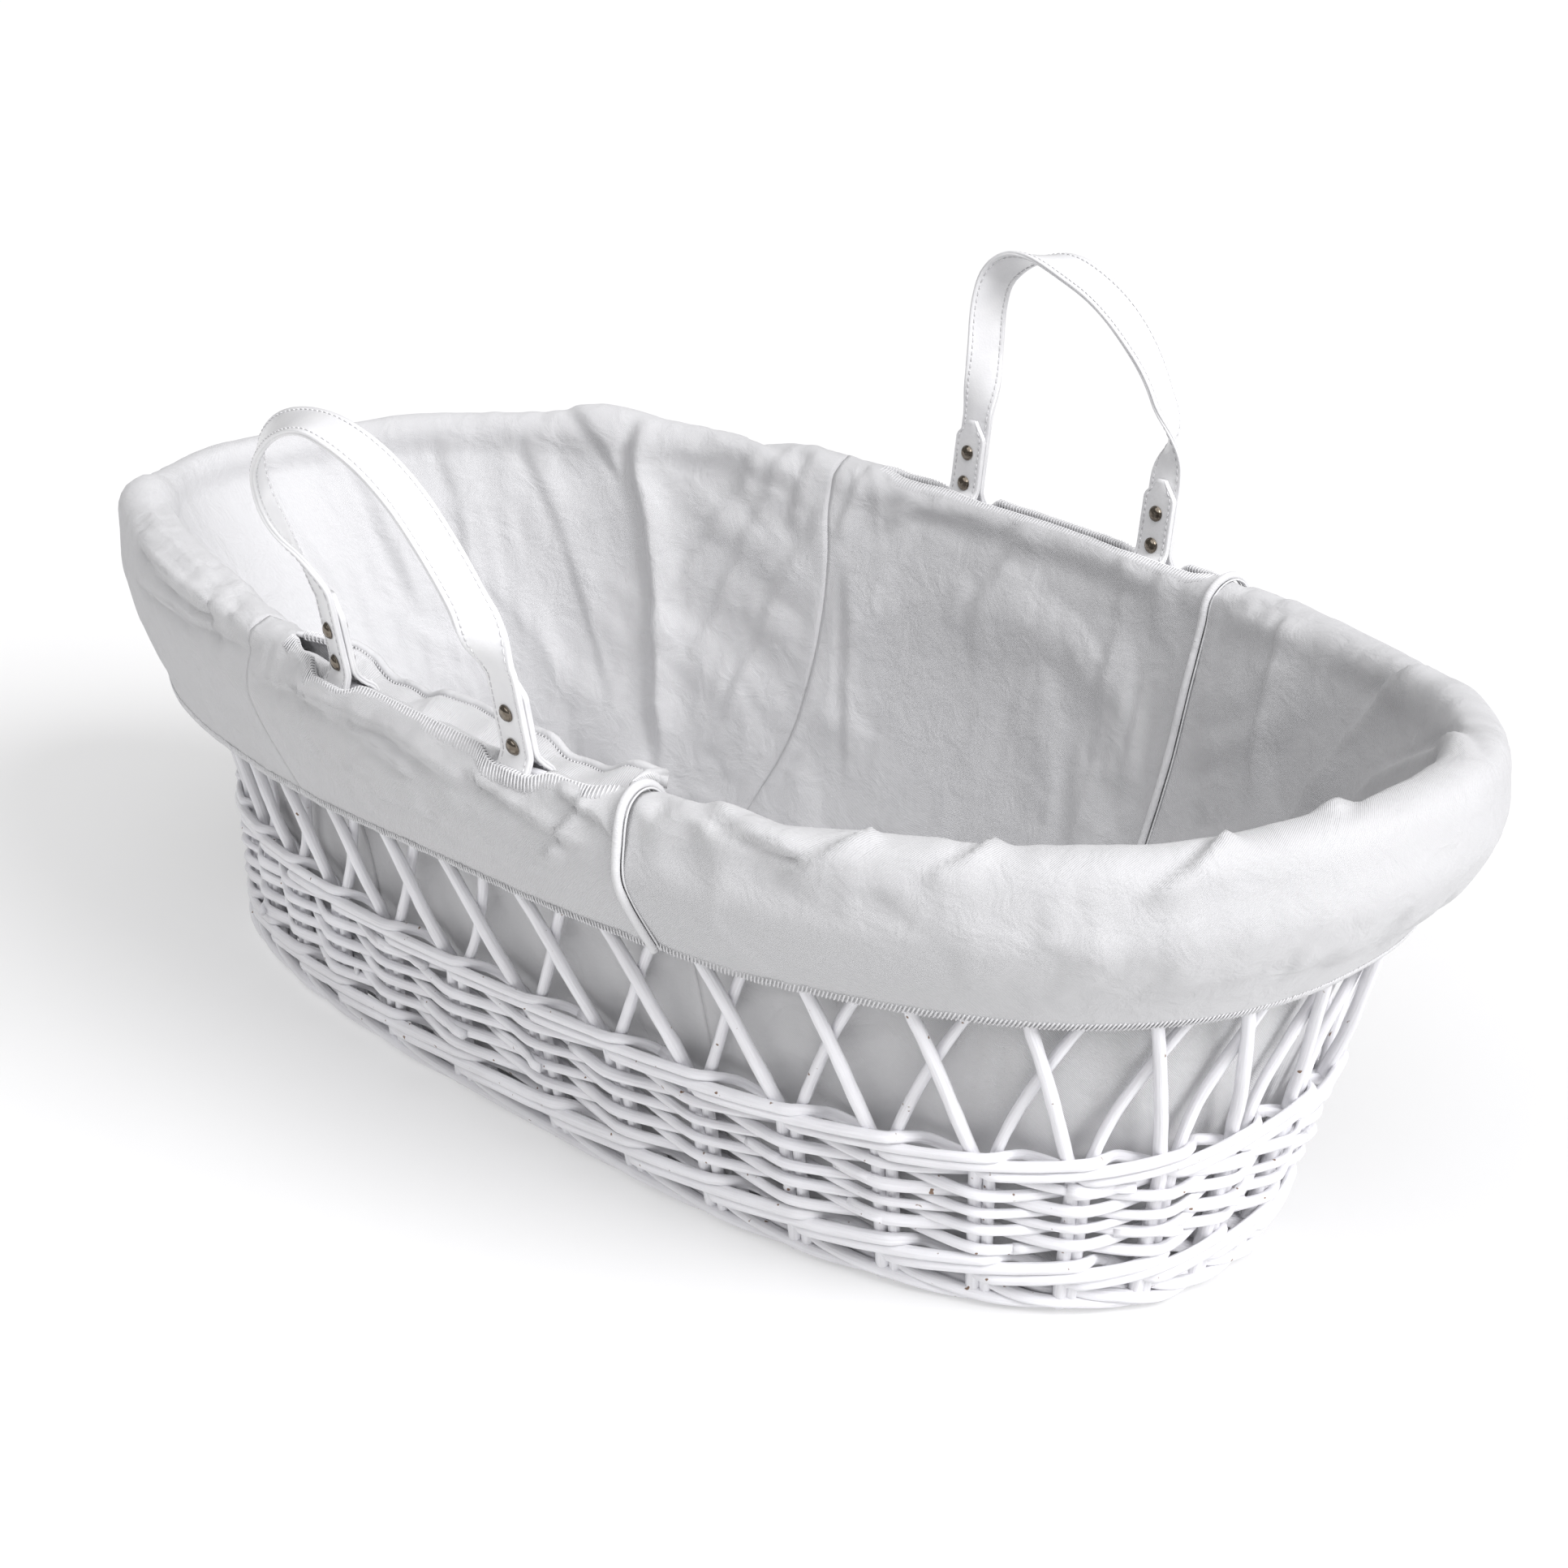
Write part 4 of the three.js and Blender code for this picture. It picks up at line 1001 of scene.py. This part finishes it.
def panel(name, node_name, t0, t1, slot_side=0, foot_end=True):
    """One padded cloth panel: its section lofted round the rim, crumpled, creased and thickened."""
    step, inner_rows, outer_rows, padding = 5.2, 50, 18, 3.0
    length = abs(float(rim_length(np.array(t1)) - rim_length(np.array(t0))))
    cols = int(length / step) + 1
    t = np.linspace(t0, t1, cols)
    dense, arc = section_arcs(t)
    p = rim_length(t)
    middle = border(t)
    x, centre_z = middle[:, 0], middle[:, 2]
    open_ = slot_open(x) if slot_side else np.zeros(cols)
    place = np.zeros((cols, inner_rows + outer_rows))
    for i in range(cols):
        inner = outer = 0.0
        if open_[i] > SHUT:
            low_in, low_out = slot_edges(x[i], slot_side)
            up = dense[i, :, 2] - centre_z[i]
            top = int(np.argmax(up))
            inner = np.interp(low_in, up[:top + 1], arc[i, :top + 1]) * open_[i]
            outer = np.interp(-low_out, -up[top:], arc[i, top:]) * open_[i]
        place[i, :inner_rows] = arc[i, 0] + (inner - arc[i, 0]) * np.linspace(0, 1, inner_rows) ** 0.9
        ragged = 1.1 * (1 + noise(p[i] / 38, 2.0, 53))
        place[i, inner_rows:] = np.linspace(outer, arc[i, -1] - ragged, outer_rows)
    plain, before, after = (np.stack([sample(place[i] + shift, arc[i], dense[i]) for i in range(cols)])
                            for shift in (0, -1.5, 1.5))
    if slot_side < 0:
        fallen = smooth(place[:, :inner_rows], -95, -14) ** 1.2 * open_[:, None]
        sag = 19 + 9 * smooth(x, -40, 110) + 2.5 * noise(x / 24, 1.0, 54)
        plain[:, :inner_rows] -= (normal("rim", t) * sag[:, None])[:, None] * fallen[..., None]
    outward = unit(np.cross(after - before, np.gradient(plain, axis=0)))
    outward = outward * np.sign(np.mean(np.sum(outward[:, -3] * normal("rim", t), -1)))
    ends = np.minimum(np.abs(p - p[0]), np.abs(p - p[-1]))
    hem = smooth(place[:, -1:] - place, 0, 12)
    toe = smooth(place - place[:, :1], 0, 25)

    lift = waves(p[:, None] + 0 * place, place) - 1.6 * smooth(place, -20, 10)
    if slot_side:
        gather_x = x[:, None] - SLOT_X[0]
        r, angle = np.hypot(gather_x, place), np.arctan2(place, -gather_x)
        lift = lift + 1.6 * np.cos(9 * angle) * np.exp(-r / 26) * smooth(r, 4, 14) * (gather_x < 12)
    lift = np.clip(lift * (0.3 + 0.7 * hem) * toe, -2.4, 9.5)
    grid = plain + outward * lift[..., None]
    flip = t1 > t0
    used, quads = joined(open_, inner_rows, outer_rows, flip)
    grid = buckled(grid, place, ends, open_, inner_rows, used, quads)
    p_fine, x_fine, t_fine, open_fine = (finer_line(values) for values in (p, x, t, open_))
    ends = np.minimum(np.abs(p_fine - p[0]), np.abs(p_fine - p[-1]))[:, None]
    open_fine[1::2] = np.where((open_[:-1] <= SHUT) | (open_[1:] <= SHUT), 0, open_fine[1::2])
    blocks, places, sides = [], [], []
    for part in (slice(0, inner_rows), slice(inner_rows, None)):
        block, where = finer(grid[:, part]), finer(place[:, part])
        side = block_normals(block, finer(outward[:, part]))
        fade = 0.3 + 0.7 * smooth(place[:, -1].min() - where, 0, 12)
        fade = fade * smooth(where - place[:, 0].max(), 0, 20)
        crease = 1.25 * creases(p_fine[:, None] + 0 * where, where) * fade
        crease = crease + 0.45 * noise(p_fine[:, None] / 8, where / 26, 45)
        if foot_end:
            seam = np.exp(-(np.abs(p_fine - (p[0] if slot_side > 0 else p[-1])) / 4.5) ** 2)[:, None]
            if not slot_side:
                seam = np.exp(-(ends / 5.5) ** 2)
            crease = crease * (1 - 0.9 * seam) - 1.0 * seam
        crease = crease - 0.3 * np.exp(-(ends / 2.5) ** 2)
        block = block + side * crease[..., None]
        toward = unit(finer(outward[:, part]))
        depth = np.sum((block - finer(plain[:, part])) * toward, -1)
        backed = smooth(np.abs(where), 22, 40)      # the willow stands close behind the cloth here
        blocks.append(block + toward * (np.maximum(0, -1.0 - depth) * backed)[..., None])
        places.append(where)
        sides.append(block_normals(blocks[-1], side))
    closed = open_fine <= SHUT
    shared = unit(sides[0][closed, -1] + sides[1][closed, 0])
    sides[0][closed, -1] = sides[1][closed, 0] = shared
    blocks[1][closed, 0] = blocks[0][closed, -1]
    grid, place, outward = (np.concatenate(v, 1) for v in (blocks, places, sides))
    rows_in = blocks[0].shape[1]
    used, quads = joined(open_fine, rows_in, blocks[1].shape[1], flip)
    uv = np.stack([np.broadcast_to(p_fine[:, None], place.shape), place], -1).reshape(-1, 2)[used] * MM
    build = Build()
    shell(build, grid.reshape(-1, 3)[used], quads.tolist(), outward.reshape(-1, 3)[used], padding, uv)
    if slot_side < 0:
        rolled = np.flatnonzero(open_fine > 0.12)
        hem_line = grid[rolled, rows_in - 1] - outward[rolled, rows_in - 1] * 1.2
        wobble = 0.35 * noise(x_fine[rolled] / 7, 3.0, 56)
        taper = 0.15 + 0.85 * smooth(open_fine[rolled], 0.12, 0.6)
        build.add(*tube(hem_line, outward[rolled, rows_in - 1], (2.3 + wobble) * taper, 10))
        slot_lining(t_fine, x_fine, open_fine, grid[:, rows_in - 1], outward[:, rows_in - 1])
    obj = build.make(name, CLOTH, "basket", [node_name])
    keep = open_fine > 0.05
    every = np.ones(len(grid), bool)
    edges = [(every, -1, -4, 4.4)]
    if slot_side:
        edges += [(keep, rows_in, 4, 7.0), (keep, rows_in - 1, -4, 7.0)]
    for part, row, inward, reach in edges:
        STITCH_EDGES.append((grid[part, row], grid[part, row + inward], outward[part, row], reach))


foot_far, foot_near = (param_at_x("rim", SEAM_X, side) for side in (1, -1))
head_far, head_near = (param_at_x("rim", HEAD_SEAM_X, side) for side in (1, -1))
panel("liner_foot_cloth", "liner_foot", foot_near - TAU, foot_far)
panel("liner_head_cloth", "liner_head", head_far, head_near, foot_end=False)
panel("liner_side_far_cloth", "liner_side_far", foot_far, head_far, 1)
panel("liner_side_near_cloth", "liner_side_near", head_near, foot_near, -1)


STITCH_STEP, THREAD_R = 1.9, 0.5


def overlock():
    """Threads that wrap the cloth's raw edges, side by side."""
    build = Build()
    for edge, inner, outward, reach in STITCH_EDGES:
        s = lengths(edge)
        e, further, up = (sample(np.arange(0.6, s[-1], STITCH_STEP), s, v) for v in (edge, inner, outward))
        into, up, run = unit(further - e), unit(up), unit(np.gradient(e, axis=0))
        jitter = rods.uniform(-0.35, 0.35, (len(e), 1))
        # One stitch: distances in from the edge, up from the cloth and along the edge.
        loop = [(reach, 0.1, 1.2), (reach * 0.5, 0.5, 0.6), (0.2, 0.45, 0), (-0.75, -1.5, -0.2),
                (0.2, -3.5, -0.4), (3.0, -3.6, -0.6)]
        points = np.stack([e + into * (a + (jitter if a > 2 else 0)) + up * b + run * c
                           for a, b, c in loop], 1)
        for item, along in zip(points, run):
            build.add(*tube(item, along, THREAD_R, 4))
    return build.make("hem_stitching", THREAD, "basket")


overlock()


def piping(name, node_name, t, side):
    """A cord sewn over a seam between two panels, with a line of thread on each side."""
    dense, arc = section_arcs(np.array([t]))
    places = np.linspace(arc[0, 0] + 4, arc[0, -1] - 1.5, 150)
    path = sample(places, arc[0], dense[0])
    run = unit(np.gradient(path, axis=0))
    away = normal("rim", np.array(t))
    around = np.cross(away, UP)
    off = unit(np.cross(run, around))
    if off[-1] @ away < 0:
        off = -off
    path = path + off * (1.1 + 0.4 * noise(places / 30, side * 2.0, 61))[:, None]
    path = path + around * (0.9 * noise(places / 45, side * 4.0, 62))[:, None]
    build = Build()
    sides = 14
    uv = np.repeat(np.stack([0 * places, places], -1), sides, 0) * MM
    build.add(*tube(path, around, 1.95 + 0.12 * noise(places / 9, side, 63), sides), uv)
    for flank in (-1, 1):
        build.add(*tube(path - off * 1.5 + around * flank * 2.6, off, THREAD_R, 5))
    return build.make(name, PIPING, "basket", [node_name])


piping("piping_far_cord", "piping_far", foot_far, 1)
piping("piping_near_cord", "piping_near", foot_near, -1)


# ------------------------------------------------------------------ mattress
def oval_pad(name, node_name, body, finish, low, high, inset, crown, quilt):
    """A filled oval pad, its sides bulging between a top and a bottom seam."""
    t = at(np.arange(144) / 144)
    edge = wall(t, 0 * t, inset)
    centre = edge.mean(0)
    pitch = 92.0                         # of the quilting, along each diagonal

    def sheet(scale, base, crown, quilt):
        """One ring of the top or the bottom, drawn in towards the middle."""
        ring = centre + (edge - centre) * scale
        x, y = ring[:, 0], ring[:, 1]
        folds = sum(np.abs(np.sin(math.pi * way / pitch)) ** 0.5 for way in (x + y, x - y)) - 2
        ring[:, 2] = base + (crown + quilt * folds) * (1 - scale ** 6)
        return ring

    scales = np.concatenate([np.linspace(0.02, 0.9, 22), np.linspace(0.93, 1.0, 5)])
    rings = [sheet(scale, low, 0, 0) for scale in scales]
    for up, bulge in [(0.25, 0.55), (0.5, 1.0), (0.75, 0.6)]:
        ring = edge + normal("band", t) * (bulge * 4.0)
        ring[:, 2] = low + (high - low) * up
        rings.append(ring)
    rings += [sheet(scale, high, crown, quilt) for scale in scales[::-1]]
    verts = np.concatenate(rings)
    build = Build()
    build.add(verts, ring_faces(len(rings), len(t)) + end_faces(len(rings), len(t)), uv=verts[:, :2] * MM)
    build.make(name, finish, body, [node_name])


floor_low, floor_high = (corner[2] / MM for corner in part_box("liner_floor"))
pad_low, pad_high = (corner[2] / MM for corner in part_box("mattress"))
oval_pad("liner_floor_cloth", "liner_floor", "basket", CLOTH,
         floor_low, floor_high, inset=-11, crown=0, quilt=0)
oval_pad("mattress_pad", "mattress", "mattress", QUILT,
         pad_low, pad_high - 5, inset=-27, crown=6, quilt=2.2)


def mattress_edges():
    """Piping round the top and the bottom of the mattress."""
    build = Build()
    t = at(np.arange(180) / 180)
    for z in (pad_low + 1.6, pad_high - 5.5):
        path = wall(t, 0 * t, -26.4)
        path[:, 2] = z
        build.add(*tube(path, normal("band", t), 1.6, 8, closed=True))
    return build.make("mattress_piping", PIPING, "mattress")


mattress_edges()

# ------------------------------------------------------------------ handles
LAYER = 1.65                                # from the middle of a doubled end to the middle of each strap
TIP_H, LOOP_TOP, LOOP_R = 52.0, 12.2, 8.7   # heights above the border, and the loop round it
RIVET_H = (17.0, 34.0)
JOINT_TILT = {"near": 12.0, "far": 6.0}     # degrees outwards at rest
ARCH_LEAN = {"near": 0.07, "far": 0.21}     # how far the arch leans out for its height
ARCH_ROLL = {"near": 0.0, "far": 0.6}       # radians that the strap turns over the arch
LEG_TWIST = {"near": 0.25, "far": 0.0}      # radians that the head leg is turned about its own length
# Each arch, as (along the border from the head leg, up from the border).
ARCH = {
    "near": [(-7, 64), (-18, 77), (-26, 95), (-23, 114), (-10, 130), (11, 143), (36, 150), (56, 148), (76, 140),
             (92, 127), (104, 110), (113, 93), (120, 75)],
    "far": [(-3, 70), (-8, 91), (-13, 112), (-12, 128), (0, 139), (22, 143), (48, 138), (74, 127), (97, 111),
            (115, 93), (128, 75)],
}


class HandleFrame:
    """Axes of a handle: u along the border, h up the riveted ends, o outward."""

    def __init__(self, name):
        side = 1 if name == "far" else -1
        start, end = (border(np.array(param_at_x("rim", x, side))) for x in LEG_X[name])
        self.start, self.span = start, float(np.linalg.norm(end - start))
        self.u = unit(end - start)
        upright = unit(UP - self.u * self.u[2])
        outward = -side * np.cross(self.u, upright)
        tilt = math.radians(JOINT_TILT[name])
        self.h = upright * math.cos(tilt) + outward * math.sin(tilt)
        self.o = outward * math.cos(tilt) - upright * math.sin(tilt)

    def place(self, a, b, c):
        a, b, c = (np.asarray(v, float)[..., None] for v in (a, b, c))
        return self.start + self.u * a + self.o * b + self.h * c

    def turned(self, twist, h):
        """The u and o axes of a leg that is twisted above its loop, at the height h."""
        angle = twist * smooth(h, -5, 14)[..., None]
        u = self.u * np.cos(angle) + self.o * np.sin(angle)
        return u, self.o * np.cos(angle) - self.u * np.sin(angle)


def loop_side(sign):
    """One side of the loop round the border, from its tip down, as (outward, up)."""
    points = [(LAYER, TIP_H), (LAYER, 40), (LAYER, 26), (LAYER, LOOP_TOP + 3), (LAYER + 0.5, LOOP_TOP)]
    points += [(LOOP_R * math.cos(a), LOOP_R * math.sin(a)) for a in map(math.radians, (52, 24, 0, -30, -60))]
    return [(sign * out, up) for out, up in points]


def strap_path(handle, name):
    """Middle and thickness direction of the strap, from one pointed tip to the other."""
    def leg(u, twist):
        path = np.array(loop_side(1) + [(0, -LOOP_R)] + loop_side(-1)[::-1], float)
        path = spline(np.column_stack([path, 0 * path[:, 0]]), 6)[:, :2]
        d = np.gradient(path, axis=0)
        _, o = handle.turned(twist, path[:, 1])
        middle = handle.place(np.full(len(path), u), 0, path[:, 1]) + o * path[:, 0:1]
        face = unit(o * -d[:, 1:2] + handle.h * d[:, 0:1])
        return middle, face

    route = np.array([(0, TIP_H)] + ARCH[name] + [(handle.span, TIP_H)], float)
    flat = spline(np.column_stack([route, 0 * route[:, 0]]), 8)[:, :2]
    flat = resample(flat, 3.0)
    d = unit(np.gradient(flat, axis=0))
    rise = smooth(flat[:, 1], TIP_H, TIP_H + 36)
    past = smooth(flat[:, 0], -20, 45)
    turn = rise * (math.pi / 2) * (0.55 + 0.45 * past)
    turn = turn + ARCH_ROLL[name] * past * smooth(flat[:, 1], 90, 130)
    arch_out = handle.u * -d[:, 1:2] + handle.h * d[:, 0:1]
    middle = handle.place(flat[:, 0], ARCH_LEAN[name] * np.maximum(0, flat[:, 1] - TIP_H), flat[:, 1])
    settled = smooth(flat[:, 1], TIP_H, TIP_H + 55)[:, None]
    settled = np.where(flat[:, 0:1] > 40, 1, settled)
    _, o = handle.turned(LEG_TWIST[name], flat[:, 1])
    o = unit(o * (1 - settled) + handle.o * settled)
    middle = middle + o * LAYER
    face = o * np.cos(turn)[:, None] + arch_out * np.sin(turn)[:, None]
    head_mid, head_face = leg(0, LEG_TWIST[name])
    foot_mid, foot_face = leg(handle.span, 0.0)
    mids = np.concatenate([head_mid[::-1], middle[1:-1], foot_mid])
    faces = np.concatenate([head_face[::-1], face[1:-1], foot_face])
    return mids, faces


def even(mids, faces, step):
    """The strap's middle and face directions at even steps along it."""
    s = lengths(mids)
    at_s = np.linspace(0, s[-1], int(s[-1] / step) + 1)
    return at_s, sample(at_s, s, mids), unit(sample(at_s, s, faces))


# Half of the strap's section: its top face with two stitch grooves, and its right edge.
GROOVED = [(0, 1.58), (6.7, 1.5), (7.6, 1.3), (8.5, 1.5), (9.5, 1.42)]
EDGE = [(9.95, 1.1), (9.98, 0.3), (9.65, 0.0), (9.98, -0.3), (9.95, -1.1)]
TOP_FACE = [(-x, y) for x, y in GROOVED[:0:-1]] + GROOVED
PROFILE = TOP_FACE + EDGE + [(-x, -y) for x, y in TOP_FACE + EDGE]


def strap(name):
    """One handle: the strap, its four lines of stitches and its rivet caps."""
    handle = HandleFrame(name)
    s, mids, faces = even(*strap_path(handle, name), 2.0)
    run = unit(np.gradient(mids, axis=0))
    faces = unit(faces - run * np.sum(faces * run, 1)[:, None])
    across = np.cross(run, faces)
    end = np.minimum(s, s[-1] - s)
    width = np.clip(0.22 + 0.78 * (end / 9.0), 0, 1)
    wide, thick = np.array(PROFILE).T
    verts = mids[:, None] + across[:, None] * (wide * width[:, None])[..., None]
    verts = verts + faces[:, None] * thick[:, None]
    build = Build()
    build.add(verts, ring_faces(len(mids), len(PROFILE), flip=True)
              + end_faces(len(mids), len(PROFILE), flip=True))
    build.make(f"strap_{name}", STRAP, f"handle_{name}", [f"handle_strap_{name}"])
    stitches = Build()
    at_s = np.arange(5, s[-1] - 5, 3.5)
    for lane in (-7.6, 7.6):
        for flank in (-1, 1):
            lane_pts = mids + across * lane * width[:, None] + faces * flank * 1.42
            for start in at_s:
                place = start + np.linspace(0.3, 2.7, 4)
                path, off = sample(place, s, lane_pts), sample(place, s, faces)
                path += off * flank * np.array([[-0.12], [0.16], [0.16], [-0.12]])
                stitches.add(*tube(path, off, 0.34, 5))
    stitches.make(f"strap_stitches_{name}", THREAD, f"handle_{name}")
    # Each rivet's outer cap, as (radius, distance from the strap's middle); the inner cap mirrors it.
    dome = [(0.0, 5.85), (0.9, 5.8), (1.8, 5.62), (2.6, 5.28), (3.25, 4.8), (3.62, 4.3), (3.72, 4.02),
            (4.0, 3.95), (4.12, 3.75), (4.1, 3.5), (1.6, 3.5)]
    profile = dome + [(r, -y) for r, y in dome[::-1]]
    sides = 28
    a = TAU * np.arange(sides) / sides
    for leg, u in (("head", 0.0), ("foot", handle.span)):
        for row, h in zip(("lower", "upper"), RIVET_H):
            build = Build()
            u_axis, o_axis = handle.turned(LEG_TWIST[name] if leg == "head" else 0.0, np.array(h))
            spoke = u_axis * np.cos(a)[:, None] + handle.h * np.sin(a)[:, None]
            rings = np.stack([handle.place(u, 0, h) + o_axis * y + spoke * max(r, 0.02) for r, y in profile])
            build.add(rings, ring_faces(len(profile), sides, flip=True) + end_faces(len(profile), sides))
            build.make(f"rivet_{name}_{leg}_{row}_caps", NICKEL, f"handle_{name}",
                       [f"rivet_{name}_{leg}_{row}"])


strap("near")
strap("far")
